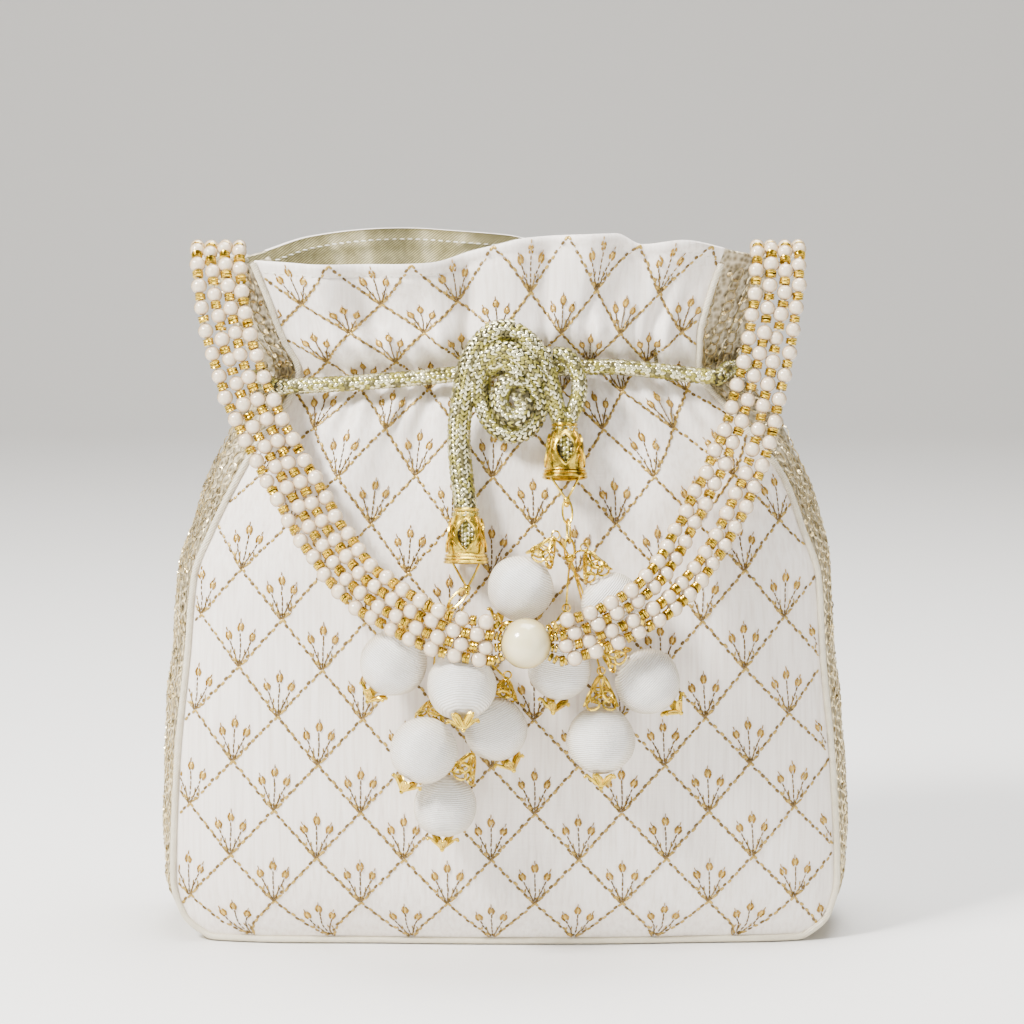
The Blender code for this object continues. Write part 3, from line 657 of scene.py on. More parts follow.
def gilt(name, colour=(0.95, 0.66, 0.17), roughness=0.2):
    material, tree, shader = newMaterial(name, colour, roughness, 1.0)
    coords = objectCoords(tree)
    fac = addNoise(tree, coords, 520, 3)
    # painted shade: random dark patches in the colour stand in for shaded recesses of the metal
    tree.links.new(addRamp(tree, fac, [(0.34, tuple(c * 0.45 for c in colour)), (0.56, colour)]),
                   shader.inputs["Base Color"])
    spread = tree.nodes.new("ShaderNodeMapRange")
    spread.inputs["To Min"].default_value = roughness
    spread.inputs["To Max"].default_value = roughness + 0.14
    tree.links.new(fac, spread.inputs["Value"])
    tree.links.new(spread.outputs["Result"], shader.inputs["Roughness"])
    addBump(tree, shader, fac, 0.0002, 0.5)
    return material


def pearlMaterial(name, colour, edge):
    material, tree, shader = newMaterial(name, colour, 0.2, 0.0, Coat_Weight=0.8,
                                         Coat_Roughness=0.06, Subsurface_Weight=0.18,
                                         Subsurface_Scale=0.0012)
    shader.inputs["Subsurface Radius"].default_value = (1.0, 0.7, 0.5)
    # painted shade: the pearl's colour darkens to the rim colour where its surface turns away from view
    tint = addRamp(tree, facingFactor(tree, 0.42), [(0.08, colour), (0.7, edge)])
    cloud = addNoise(tree, objectCoords(tree), 190, 2)
    paintMultiplied(tree, shader, tint,
                    addRamp(tree, cloud, [(0.3, (0.94, 0.92, 0.90)), (0.7, (1, 1, 1))]))
    return material


def wrappedSilk():
    # fine threads wound round each ball; Z is the ball's own axis
    material, tree, shader = newMaterial("white wound silk", (0.93, 0.92, 0.90), 0.46,
                                         Sheen_Weight=0.3, Sheen_Roughness=0.35)
    coords = objectCoords(tree)
    thread = waves(tree, coords, "Z", 520, 1.4, 2.0)
    strand = addNoise(tree, coords, 420, 3, (1.0, 1.0, 0.22))
    both = joined(tree, thread, strand, "MULTIPLY")
    tint = addRamp(tree, both, [(0.0, (0.66, 0.62, 0.55)), (0.22, (0.88, 0.86, 0.82)),
                                (0.5, (0.98, 0.97, 0.945))])
    # painted shade: the silk is tinted warmer and darker towards the ball's edges, where it turns away from view
    paintMultiplied(tree, shader, tint,
                    addRamp(tree, facingFactor(tree, 0.35), [(0.15, (1, 1, 1)),
                                                             (0.75, (0.80, 0.71, 0.55))]))
    addBump(tree, shader, both, 0.0004, 1.0)
    return material


silk = slubSilk()
threadLight = threadMaterial("light gold thread", (0.42, 0.28, 0.065), 0.36, 0.45)
threadDark = threadMaterial("brown gold thread", (0.15, 0.09, 0.022), 0.42, 0.35)
budThread = threadMaterial("amber satin thread", (0.33, 0.19, 0.025), 0.36, 0.35)
budLight = threadMaterial("pale amber thread", (0.60, 0.40, 0.09), 0.36, 0.3)
creamThread = threadMaterial("cream sewing thread", (0.86, 0.81, 0.70), 0.5, 0.0)
lace = laceCloth()
laceThread = threadMaterial("bronze lace thread", (0.74, 0.63, 0.38), 0.28, 0.75)
sequin = gilt("gold sequin", (0.88, 0.70, 0.36), 0.18)
liningCloth = twillSatin("olive gold lining", (0.13, 0.11, 0.04), (0.50, 0.44, 0.22), 470)
pipingCloth = twillSatin("cream satin piping", (0.56, 0.50, 0.36), (0.86, 0.80, 0.66), 500, 0.0)
baseCloth = twillSatin("plain base cloth", (0.32, 0.28, 0.18), (0.52, 0.47, 0.34), 400, 0.0)
cordLight = threadMaterial("silver gold cord thread", (0.82, 0.78, 0.48), 0.25, 0.8)
cordGreen = threadMaterial("olive gold cord thread", (0.37, 0.33, 0.075), 0.32, 0.7)
# painted shade: the near-black core and the shaded thread, a darker copy of the cord's thread, stand for the shade
# between and on the stitches
cordCore = threadMaterial("dark cord core", (0.07, 0.06, 0.025), 0.6, 0.3)
cordShade = threadMaterial("shaded cord thread", (0.16, 0.14, 0.055), 0.4, 0.6)
gold = gilt("bright gilt", (0.86, 0.61, 0.07), 0.16)
beadGold = gilt("gilt seed bead", (0.64, 0.43, 0.04), 0.15)
# the second colour of each pearl is the painted shade at its rim
pearlSmall = pearlMaterial("small pearl", (0.83, 0.71, 0.54), (0.45, 0.31, 0.15))
pearlLarge = pearlMaterial("large pearl", (0.88, 0.80, 0.50), (0.50, 0.38, 0.13))
silkWound = wrappedSilk()
print("materials made")

panelGrid = {"across": 150, "up": 165, "hemInset": 1.25, "hemDepth": 5.0}


def makePanel(name, side, node):
    build = Build()
    # the columns crowd a little towards the seams
    k = np.linspace(-1, 1, panelGrid["across"])
    us = 0.8 * k + 0.2 * np.sin(k * math.pi / 2)
    heights = np.concatenate([[0.25], np.linspace(1.5, 222.0, panelGrid["up"])])
    rim = frontRim(us) if side < 0 else backRim(us)
    rows = [panelPoint(side, us, raised(z, rim), 0.0) for z in heights]
    for drop, inset in ((-0.4, 0.35), (-0.25, 0.95), (2.0, panelGrid["hemInset"]),
                        (panelGrid["hemDepth"], panelGrid["hemInset"])):
        rows.append(panelPoint(side, us, raised(222.0, rim) - drop, inset))
    grid = np.stack(rows)
    faces = gridFaces(len(rows), len(us))
    if side > 0:
        faces = [f[::-1] for f in faces]
    build.add(grid.reshape(-1, 3), faces)
    return build.finish(name, [silk], "bag", "silk_panel", replacing=[node])


frontPanel = makePanel("frontPanel", -1, "front_panel")
backPanel = makePanel("backPanel", 1, "back_panel")
print("panels made")

# Embroidery on the flat cloth: a lattice of diamonds with a spray of buds in each.
lattice = {"wide": 27.3, "tall": 14.7, "shift": -0.16, "stitch": 1.62, "width": 0.92,
           "height": 0.5, "top": 234.9}
spray = {
    "middleStem": [(0.0, 0.8), (0.1, 4.5), (0.0, 10.3)],
    "sideStem": [(0.4, 0.6), (1.7, 3.6), (3.5, 7.6)],
    "petal": [(0.7, 0.5), (2.9, 2.4), (3.0, 5.2)],
    "innerPetal": [(0.3, 1.4), (1.3, 2.6), (1.7, 5.4)],
    "buds": [(0.0, 11.8, 0.0), (3.95, 9.1, -0.35), (-3.95, 9.1, 0.35)],
    "budWide": 2.3, "budTall": 3.1,
}


def curveStitches(points, stitch, rows, kind, width):
    points = smoothRoute([(a, b, 0.0) for a, b in points], stitch)[:, :2]
    for here, there in zip(points, points[1:]):
        middle, step = (here + there) / 2, there - here
        rows.append((middle[0], middle[1], step[0], step[1], float(np.hypot(*step)) * 1.08,
                     width, kind))


def sprayStitches():
    rows = []
    curveStitches(spray["middleStem"], 1.7, rows, 1, 0.5)
    for way in (-1, 1):
        for key, width in (("sideStem", 0.5), ("petal", 0.5), ("innerPetal", 0.44)):
            curveStitches([(a * way, b) for a, b in spray[key]], 1.6, rows,
                          1 if key == "sideStem" else 0, width)
    wide, tall = spray["budWide"], spray["budTall"]
    for s, t, lean in spray["buds"]:
        up = np.array([-math.sin(lean), math.cos(lean)])
        out = np.array([up[1], -up[0]])
        for way in (-1, 1):
            for low in (-1, 1):
                spot = np.array([s, t]) + out * way * wide * 0.3 + up * low * tall * 0.2
                aim = up * tall * 0.5 - out * way * low * wide * 0.3
                rows.append((spot[0], spot[1], aim[0], aim[1], tall * 0.66, 0.72, 2))
        rows.append((s, t, up[0], up[1], tall * 0.72, 1.15, 3))
        tip = np.array([s, t]) + up * tall * 0.66
        rows.append((tip[0], tip[1], up[0], up[1], 1.5, 0.34, 2))
    return np.array(rows)


def makeEmbroidery(name, side):
    wide, tall = lattice["wide"], lattice["tall"]
    nodes = []
    for row in range(-1, 18):
        shift = lattice["shift"] + (0.0 if row % 2 == 0 else 0.5)
        for k in range(-6, 7):
            nodes.append(((k + shift) * wide, row * tall))
    lines = []
    run = math.hypot(wide / 2, tall)
    count = round(run / lattice["stitch"])
    for s, t in nodes:
        for way in (-1, 1):
            ds, dt = way * wide / 2 / run, tall / run
            for k in range(count):
                at = (k + 0.5) * run / count
                twist = 0.16 * (1 if k % 2 else -1)
                lines.append((s + ds * at + twist * dt, t + dt * at - twist * ds,
                              ds + 0.12 * twist * dt, dt, run / count * 1.12,
                              lattice["width"], 0 if k % 2 else 1))
    lines = np.array(lines)
    motif = sprayStitches()
    sprays = []
    for s, t in nodes:
        copy = motif.copy()
        copy[:, 0] += s
        copy[:, 1] += t
        sprays.append(copy)
    rows = np.concatenate([lines] + sprays)
    half = clothHalf(rows[:, 1])
    rows = rows[(rows[:, 1] > 0.8) & (rows[:, 1] < lattice["top"])
                & (np.abs(rows[:, 0]) < half - 1.2)]
    jitter = dice.normal(0, 0.07, (len(rows), 4))
    s, t = rows[:, 0] + jitter[:, 0], rows[:, 1] + jitter[:, 1]
    here, normal, across, up = clothFrame(side, s, t)
    aim = across * (rows[:, 2:3] + jitter[:, 2:3] * 0.8) + up * (rows[:, 3:4] + jitter[:, 3:4] * 0.8)
    build = Build()
    for kind in range(4):
        pick = rows[:, 6] == kind
        build.grains(here[pick] + normal[pick] * 0.12, aim[pick], normal[pick],
                     rows[pick, 4] * (1 + jitter[pick, 0]), rows[pick, 5] * (1 + jitter[pick, 1]),
                     lattice["height"] * (1.5 if kind > 1 else 1.0), kind)
    return build.finish(name, [threadLight, threadDark, budThread, budLight], "bag",
                        "silk_panel", 80)


frontEmbroidery = makeEmbroidery("frontEmbroidery", -1)
backEmbroidery = makeEmbroidery("backEmbroidery", 1)
print("embroidery made")


def makeGusset(name, side, node):
    build = Build()
    ws = np.sin(np.linspace(-1, 1, 46) * math.pi / 2)
    heights = np.linspace(0.4, 222.0, 170)
    rows = [gussetPoint(side, ws, raised(z, gussetRim(side, ws)), 0.0) for z in heights]
    for drop, inset in ((-0.5, 0.7), (2.0, 1.6), (5.0, 1.7)):
        rows.append(gussetPoint(side, ws, raised(222.0, gussetRim(side, ws)) - drop, inset))
    faces = gridFaces(len(rows), len(ws))
    if side < 0:
        faces = [f[::-1] for f in faces]
    build.add(np.stack(rows).reshape(-1, 3), faces)
    return build.finish(name, [lace], "bag", "lace", replacing=[node])


laceWork = {"rows": 11, "pitch": 3.4, "loop": 1.75, "wire": 0.27, "sequins": 360}


def makeLaceWork(name, side):
    # scalloped loops of metallic thread and small sequins over the gusset
    build = Build()

    def spot(w, z):
        here = gussetPoint(side, w, z, 0.0)
        dw = gussetPoint(side, w + 0.02, z, 0.0) - here
        dz = gussetPoint(side, w, z + 0.5, 0.0) - here
        dw, dz = unit(dw), unit(dz)
        normal = unit(np.cross(dw, dz)) * side
        return here, dw, dz, normal
    for k in range(laceWork["rows"]):
        w0 = -0.94 + 1.88 * k / (laceWork["rows"] - 1)
        count = int(214 / laceWork["pitch"])
        for j in range(count):
            z = 3.0 + (j + 0.5 * (k % 2)) * laceWork["pitch"]
            here, dw, dz, normal = spot(w0, z)
            angles = np.linspace(0, 2 * math.pi, 8, endpoint=False)
            size = laceWork["loop"] * (0.85 + 0.3 * dice.random())
            ring = here + normal * 0.3 + size * (np.cos(angles)[:, None] * dw
                                                 + np.sin(angles)[:, None] * dz * 1.15)
            ring += normal * (0.25 * np.sin(angles * 2 + j))[:, None]
            build.tube(ring, laceWork["wire"], 3, closed=True)
    for _ in range(laceWork["sequins"]):
        w0, z = dice.uniform(-0.9, 0.9), dice.uniform(4, 214)
        here, dw, dz, normal = spot(w0, z)
        tilt = unit(normal + 0.35 * dice.normal(size=3))
        size = dice.uniform(0.7, 1.0)
        build.turned(here + normal * 0.45, tilt, [(0.2, 0.12), (size * 0.6, 0.16), (size, 0.0)],
                     7, 1)
    return build.finish(name, [laceThread, sequin], "bag", "lace", 60)


gussetLeft = makeGusset("gussetLeft", -1, "gusset_left")
gussetRight = makeGusset("gussetRight", 1, "gusset_right")
laceLeft = makeLaceWork("laceLeft", -1)
laceRight = makeLaceWork("laceRight", 1)
print("gussets made")

liningCut = {"inset": 1.45, "floor": 4.4, "belowRim": -0.25}


def outline(z, inset, count=90, deep=24, lifted=True):
    us = np.linspace(-1, 1, count)
    ws = np.linspace(-1, 1, deep)[1:-1]

    def height(rim):
        if not lifted:
            return z + 0 * rim
        return raised(z, rim) - liningCut["belowRim"] * smoothStep(190, 222, z)
    return np.concatenate([
        panelPoint(-1, us, height(frontRim(us)), inset),
        gussetPoint(1, ws, height(gussetRim(1, ws)), inset),
        panelPoint(1, us[::-1], height(backRim(us[::-1])), inset),
        gussetPoint(-1, ws[::-1], height(gussetRim(-1, ws[::-1])), inset)])


def makeLining():
    build = Build()
    heights = np.concatenate([np.linspace(6.0, 150, 34), np.linspace(153, 222, 38)])
    rings = [outline(z, liningCut["inset"]) for z in heights]
    wide = len(rings[0])
    floor = [rings[0] * np.array([k, k, 0]) + np.array([0, 0, liningCut["floor"]])
             for k in (0.3, 0.6, 0.85, 0.97)]
    grid = np.stack(floor + rings)
    build.add(grid.reshape(-1, 3), [f[::-1] for f in gridFaces(len(grid), wide, closed=True)])
    build.add(np.concatenate([floor[0], [[0, 0, liningCut["floor"]]]]),
              [(k, (k + 1) % wide, wide) for k in range(wide)])
    return build.finish("liningPouch", [liningCloth], "bag", "lining_satin", replacing=["lining"])


def makeTopStitch():
    # a row of stitches under the edge, outside on the panels and inside on the lining
    build = Build()
    for side, inset, out in ((-1, 0.0, 1), (1, 0.0, 1), (-1, liningCut["inset"], -1),
                             (1, liningCut["inset"], -1)):
        us = np.linspace(-0.97, 0.97, 62)
        rim = frontRim(us) if side < 0 else backRim(us)
        z = raised(222.0, rim) - 3.3
        here = panelPoint(side, us, z, inset)
        ahead = panelPoint(side, us + 0.01, z, inset)
        normal = np.tile([0.0, side * out, 0.0], (len(us), 1))
        build.grains(here + normal * 0.1, ahead - here, normal, 1.9, 0.5, 0.4)
    return build.finish("topStitch", [creamThread], "bag", "piping_satin", 80)


def makeBase():
    # the cloth under the bag, turned up at its edge
    build = Build()
    edge = outline(0.0, 0.6, 60, 16, False)
    wide = len(edge)
    rings = []
    for k, z in ((0.2, 0.0), (0.5, 0.0), (0.8, 0.0), (0.97, 0.0), (0.995, 0.3), (1.0, 1.2),
                 (0.96, 1.2), (0.5, 1.2), (0.2, 1.2)):
        rings.append(edge * np.array([k, k, 0]) + np.array([0, 0, z]))
    grid = np.stack(rings)
    build.add(grid.reshape(-1, 3), gridFaces(len(rings), wide, closed=True))
    for ring, z in ((0, 0.0), (len(rings) - 1, 1.2)):
        build.add(np.concatenate([rings[ring], [[0, 0, z]]]),
                  [(k, (k + 1) % wide, wide) for k in range(wide)])
    return build.finish("basePanel", [baseCloth], "bag", "base_cloth", replacing=["base_panel"])


piping = {"radius": 1.0, "over": 0.55, "out": 0.5, "bottomOut": 0.75}


def makePiping(name, side, node):
    rim = frontRim if side < 0 else backRim
    path = []
    over, out = piping["over"], piping["out"]
    top = min(float(rim(-1.0)), float(rim(1.0))) - 0.6
    heights = np.concatenate([np.linspace(top, 30, 56), [24, 19, 15, 11.5, 8.5, 6, 4, 2.6]])
    for z in heights:
        path.append(panelPoint(side, -1.0, z, 0.0) + np.array([-over, side * out, 0.0]))
    for u in np.sin(np.linspace(-1, 1, 60)[1:-1] * math.pi / 2):
        point = panelPoint(side, u, 1.6, 0.0)
        path.append(point + np.array([0, side * piping["bottomOut"], -0.2]))
    for z in heights[::-1]:
        path.append(panelPoint(side, 1.0, z, 0.0) + np.array([over, side * out, 0.0]))
    build = Build()
    build.tube(smoothRoute(path, 2.2), piping["radius"], 9)
    return build.finish(name, [pipingCloth], "bag", "piping_satin", replacing=[node])


liningPouch = makeLining()
topStitch = makeTopStitch()
makeBase()
makePiping("pipingFront", -1, "piping_front")
makePiping("pipingBack", 1, "piping_back")
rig.sheet(frontPanel, flat=(0.208, 0.240), held="gathered", rests_on=["liningPouch"],
         with_pieces=[frontEmbroidery])
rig.sheet(backPanel, flat=(0.208, 0.240), held="gathered", rests_on=["liningPouch"],
         with_pieces=[backEmbroidery])
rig.sheet(gussetLeft, flat=(0.064, 0.235), held="gathered", rests_on=["liningPouch"],
         with_pieces=[laceLeft])
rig.sheet(gussetRight, flat=(0.064, 0.235), held="gathered", rests_on=["liningPouch"],
         with_pieces=[laceRight])
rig.sheet(liningPouch, flat=(0.54, 0.245), held="gathered", rests_on=["base_board"],
         with_pieces=[topStitch])

boardMaterial, boardTree, boardShader = newMaterial("grey board", (0.55, 0.46, 0.35), 0.85)
boardFac = addNoise(boardTree, objectCoords(boardTree), 300, 4)
boardTree.links.new(addRamp(boardTree, boardFac, [(0.3, (0.46, 0.38, 0.28)),
                                                 (0.7, (0.62, 0.53, 0.41))]),
                    boardShader.inputs["Base Color"])
addBump(boardTree, boardShader, boardFac, 0.0002, 0.5)
board = bpy.data.objects[frame["nodes"]["base_board"].name]
for slotItem in board.material_slots:
    slotItem.material = boardMaterial
print("lining, piping and base made")

drawcord = {
    "radius": 2.2, "clearance": 0.75, "pipingOver": 3.0, "pitch": 1.6, "columns": 7,
    "starts": (-0.105, 0.235), "backHeight": 179.5, "leftHeight": 178.0, "rightHeight": 182.5,
    "tailLeft": [(3.0, -36.0, 196.2), (-2.5, -36.6, 196.0), (-7.2, -36.8, 192.4),
                 (-10.8, -36.4, 186.0), (-12.9, -35.4, 176.0), (-14.2, -35.6, 165.0),
                 (-13.6, -38.2, 154.0), (-12.4, -41.4, 145.5), (-12.0, -43.0, 140.0)],
    "tailRight": [(3.0, -36.0, 196.2), (7.2, -37.6, 193.4), (11.2, -38.2, 188.0),
                  (13.8, -37.6, 181.0), (15.4, -36.6, 174.0), (17.2, -36.2, 168.2),
                  (18.3, -36.6, 164.6)],
    "rightLimb": [(15.2, -33.0, 188.6), (19.6, -34.4, 188.0), (22.6, -35.0, 182.4),
                  (22.8, -35.2, 176.0), (20.6, -35.6, 170.0), (19.0, -36.2, 166.0)],
    "coil": [(-5.6, -33.6, 187.0), (-7.2, -34.6, 179.0), (-5.8, -35.4, 170.6),
             (-1.6, -35.8, 165.4), (3.6, -36.0, 164.2), (8.2, -36.2, 167.0),
             (10.4, -36.4, 172.4), (9.4, -36.8, 178.0), (5.4, -37.6, 181.4),
             (0.6, -38.2, 180.2), (-1.8, -38.8, 175.6), (-0.2, -39.2, 171.0),
             (3.6, -39.4, 169.4), (6.4, -39.4, 172.2), (5.6, -39.4, 175.8), (3.0, -39.2, 174.6)],
    "inner": [(-9.0, -35.0, 174.0), (-8.2, -36.4, 183.0), (-4.0, -38.6, 189.6),
              (1.6, -39.8, 190.2), (6.8, -40.2, 186.8), (11.0, -38.8, 181.0)],
    "under": [(-5.4, -36.2, 184.0), (-1.2, -38.6, 187.0), (2.6, -39.6, 185.0),
              (4.4, -39.8, 182.4)],
    "back": [(-7.0, -32.4, 184.0), (2.0, -33.4, 187.0), (14.0, -33.0, 186.4)],
    # half thickness and flatness of each run in the knot and of the tails
    "knot": [("coil", 2.0, 1.45), ("inner", 1.9, 1.5), ("rightLimb", 1.8, 1.3),
             ("under", 1.7, 1.3), ("back", 2.6, 1.6)],
    "leftSize": (2.05, 1.7), "rightSize": (1.95, 1.4), "flatUp": (0.0, -1.0, 0.1),
    "flatColumns": 8,
}


def knit(build, path, radius, flat=1.0, flatUp=None, columns=None):
    # a core with a knitted cover: rows of paired slanting stitches; the core's near-black colour is painted shade
    # between the stitches, and some stitches take the painted shaded thread
    path = np.asarray(path, float)
    build.tube(path, radius * 0.86, 10, material=0, flat=flat, flatUp=flatUp)
    columns = columns or drawcord["columns"]
    total = lengthOf(path)
    count = max(4, round(total / drawcord["pitch"]))
    lengths = np.concatenate([[0], np.cumsum(np.linalg.norm(np.diff(path, axis=0), axis=1))])
    goals = (np.arange(count) + 0.5) * total / count
    here = np.stack([np.interp(goals, lengths, path[:, k]) for k in range(3)], axis=1)
    tangents, normals = pathFrames(here, False, flatUp)
    others = np.cross(tangents, normals)
    for c in range(columns):
        for way in (-1, 1):
            angle = 2 * math.pi * (c + 0.25 * way) / columns
            out = normals * math.cos(angle) + others * math.sin(angle) * flat
            around = -normals * math.sin(angle) + others * math.cos(angle) * flat
            centre = here + out * radius * 0.93
            aim = tangents + unit(around) * way * 0.62
            shade = dice.random(len(here))
            for material, pick in ((1, shade < 0.46), (2, (shade >= 0.46) & (shade < 0.8)),
                                   (3, shade >= 0.8)):
                build.grains(centre[pick], aim[pick], unit(out)[pick],
                             drawcord["pitch"] * 1.5, radius * 0.46, radius * 0.36, material)


cordMaterials = [cordCore, cordLight, cordGreen, cordShade]


def neckPath():
    reach = drawcord["radius"] + drawcord["clearance"]

    def over(u):
        return -(reach + drawcord["pipingOver"] * abs(u) ** 8)

    def onPanel(side, u, z):
        # the cord lies straight over the folds
        point = panelPoint(side, u, z, over(u))
        point[1] -= side * foldDepth(side, np.asarray(float(u)), np.asarray(float(z)))
        return point

    def onGusset(side, w, z):
        reachX = float(seamLeft(z) if side < 0 else seamRight(z)) - over(w)
        bulge = float(bulgeLeft(z) if side < 0 else bulgeRight(z))
        return np.array([side * (reachX + bulge * (1 - w * w)),
                         w * (float(seamDepth(z)) - over(w)), z])
    path = []
    a, b = drawcord["starts"]
    for k in range(12):
        u = a - (1 + a) * math.sin(math.pi / 2 * k / 11)
        path.append(onPanel(-1, u, float(neckHeight(u))))
    for w in (-0.7, -0.35, 0.0, 0.35, 0.7):
        path.append(onGusset(-1, w, drawcord["leftHeight"]))
    for u in np.sin(np.linspace(-1, 1, 17) * math.pi / 2):
        path.append(onPanel(1, u, drawcord["backHeight"]))
    for w in (0.7, 0.35, 0.0, -0.35, -0.7):
        path.append(onGusset(1, w, drawcord["rightHeight"]))
    for k in range(11, -1, -1):
        u = b + (1 - b) * math.sin(math.pi / 2 * k / 11)
        path.append(onPanel(-1, u, float(neckHeight(u))))
    return smoothRoute(path, 2.0)


neckRoute = neckPath()
neckBuild = Build()
knit(neckBuild, neckRoute, drawcord["radius"])
neckCord = neckBuild.finish("drawcordNeck", cordMaterials, "bag", "metallic_cord", 80,
                            replacing=["drawcord_neck"])
knotBuild = Build()
for key, thick, flat in drawcord["knot"]:
    knit(knotBuild, smoothRoute(drawcord[key], 1.6), thick, flat, drawcord["flatUp"],
         drawcord["flatColumns"])
knotCord = knotBuild.finish("drawcordKnot", cordMaterials, "bag", "metallic_cord", 80,
                            replacing=["drawcord_knot"])
leftRoute = smoothRoute(drawcord["tailLeft"], 1.8)
leftBuild = Build()
knit(leftBuild, leftRoute, *drawcord["leftSize"], drawcord["flatUp"], drawcord["flatColumns"])
tailLeft = leftBuild.finish("drawcordTailLeft", cordMaterials, "bag", "metallic_cord", 80,
                            replacing=["drawcord_tail_left"])
rightRoute = smoothRoute(drawcord["tailRight"], 1.6)
rightBuild = Build()
knit(rightBuild, rightRoute, *drawcord["rightSize"], drawcord["flatUp"], drawcord["flatColumns"])
tailRight = rightBuild.finish("drawcordTailRight", cordMaterials, "bag", "metallic_cord", 80,
                              replacing=["drawcord_tail_right"])
print("drawcord made")

endCap = {
    "profile": [(3.5, 0.0), (3.6, 1.4), (4.2, 2.6), (5.4, 5.0), (6.0, 8.0), (6.15, 10.5),
                (5.9, 13.0), (5.7, 14.2), (6.3, 15.2), (6.5, 16.4)],
    "windows": 4, "windowLow": 3.2, "windowHigh": 13.2, "windowWide": 0.52, "wire": 0.42,
    "left": ((-11.9, -43.0, 141.9), (-11.9, -46.0, 125.7)),
    "right": ((18.4, -36.2, 167.3), (18.5, -40.2, 151.2)),
}


def placer(base, axis):
    turn = np.array(Vector(axis).normalized().to_track_quat("Z", "Y").to_matrix())
    base = np.array(base, float)

    def place(radius, angle, height):
        local = stack(radius * np.cos(angle), radius * np.sin(angle), height)
        return local @ turn.T + base
    return place


def makeEndCap(side):
    # a bell of pierced metal with pointed windows, open at the bottom
    top, bottom = (np.array(p) for p in endCap[side])
    place = placer(top, bottom - top)
    radiusAt = curveThrough([(h, r) for r, h in endCap["profile"]])
    build = Build()
    around, tall = 72, 34
    angles = np.linspace(0, 2 * math.pi, around, endpoint=False)
    heights = np.linspace(0.4, 16.2, tall)
    grid = np.stack([place(radiusAt(h) + 0 * angles, angles, h + 0 * angles) for h in heights])
    low, high = endCap["windowLow"], endCap["windowHigh"]

    def halfAngle(h):
        f = np.clip((h - low) / (high - low), 0, 1)
        return endCap["windowWide"] * np.sin(math.pi * f ** 0.85) ** 0.85

    faces = []
    for f in gridFaces(tall, around, closed=True):
        r, c = divmod(f[0], around)
        h = (heights[r] + heights[r + 1]) / 2
        a = (angles[c] + math.pi / around) % (2 * math.pi / endCap["windows"])
        off = min(a, 2 * math.pi / endCap["windows"] - a)
        if not (low < h < high and off < halfAngle(h)):
            faces.append(f)
    build.add(grid.reshape(-1, 3), faces)
    for k in range(endCap["windows"]):
        middle = 2 * math.pi * k / endCap["windows"]
        hs = np.concatenate([np.linspace(low, high, 14), np.linspace(high, low, 14)[1:-1]])
        offs = np.concatenate([halfAngle(hs[:14]), -halfAngle(hs[14:])])
        build.tube(place(radiusAt(hs) + 0.15, middle + offs, hs), endCap["wire"], 5, closed=True)
        between = middle + math.pi / endCap["windows"]
        vein = np.linspace(1.6, 13.8, 9)
        build.tube(place(radiusAt(vein) + 0.12, between + 0 * vein, vein), 0.3, 4)
        for h in (5.0, 7.5, 10.0):
            for way in (-1, 1):
                hs = np.linspace(h, h + 1.9, 4)
                angle = between + way * np.linspace(0.02, 0.26, 4)
                build.tube(place(radiusAt(hs) + 0.1, angle, hs), 0.24, 4)
    for radius, h, wire in ((3.6, 0.3, 0.5), (3.75, 1.6, 0.42), (6.15, 14.4, 0.5),
                            (6.55, 15.4, 0.45), (6.6, 16.4, 0.5)):
        ring = np.linspace(0, 2 * math.pi, 32, endpoint=False)
        build.tube(place(radius + 0 * ring, ring, h + 0 * ring), wire, 6, closed=True)
    cap = build.finish(f"endCap_{side}", [gold], "bag", "gilt", 40,
                       replacing=[f"end_cap_{side}"])
    # the cord's end fills the bell
    plug = Build()
    axis = unit(bottom - top)
    knit(plug, smoothRoute([top + axis * 1.0, top + axis * 6.0, top + axis * 13.5], 1.6), 3.7,
         columns=9)
    stub = plug.finish(f"cordEnd_{side}", cordMaterials, "bag", "metallic_cord", 80)
    return cap, stub


capLeft, stubLeft = makeEndCap("left")
capRight, stubRight = makeEndCap("right")

tassels = {
    "left": {
        "link": [(-11.9, -46.4, 124.9), (-13.2, -47.4, 118.5), (-17.0, -48.8, 112.6),
                 (-21.0, -50.0, 108.0)],
        "balls": [
            ((-34.2, -54.0, 95.8), 10.6, (0.5, 0.1, 0.85), (-0.55, 0.0, -0.84), 8.0),
            ((-13.2, -62.6, 90.3), 10.9, (0.1, 0.6, 0.8), (0.05, -0.6, -0.8), 8.0),
            ((-24.8, -60.6, 70.0), 10.6, (0.15, 0.55, 0.82), (-0.47, -0.1, -0.88), 6.0),
            ((-2.6, -52.4, 74.6), 10.1, (0.2, 0.3, 0.93), (0.38, 0.0, -0.92), 6.0),
            ((-18.6, -52.2, 50.6), 10.1, (0.48, 0.1, 0.88), (-0.06, 0.0, -1.0), 8.5)],
    },
    "right": {
        "link": [(18.6, -40.4, 150.4), (18.9, -42.6, 144.0), (19.4, -45.6, 136.0),
                 (20.0, -48.4, 127.5)],
        "balls": [
            ((4.9, -52.0, 118.6), 10.5, (0.54, 0.0, 0.84), (-0.54, 0.0, -0.84), 8.0),
            ((32.8, -51.4, 113.8), 9.8, (-0.44, 0.0, 0.9), (0.75, 0.0, -0.66), 8.5),
            ((16.9, -52.6, 93.6), 10.0, (0.1, 0.0, 1.0), (-0.15, 0.0, -0.99), 8.0),
            ((29.5, -53.4, 71.6), 10.9, (0.0, 0.0, 1.0), (0.0, -0.3, -0.95), 10.0),
            ((43.8, -52.6, 89.8), 10.5, (-0.78, 0.0, 0.62), (0.72, 0.0, -0.69), 8.5)],
    },
    "threadPitch": 0.85, "groove": 0.045, "sunk": 0.36, "facets": (0.14, 0.10), "belly": 0.08,
}


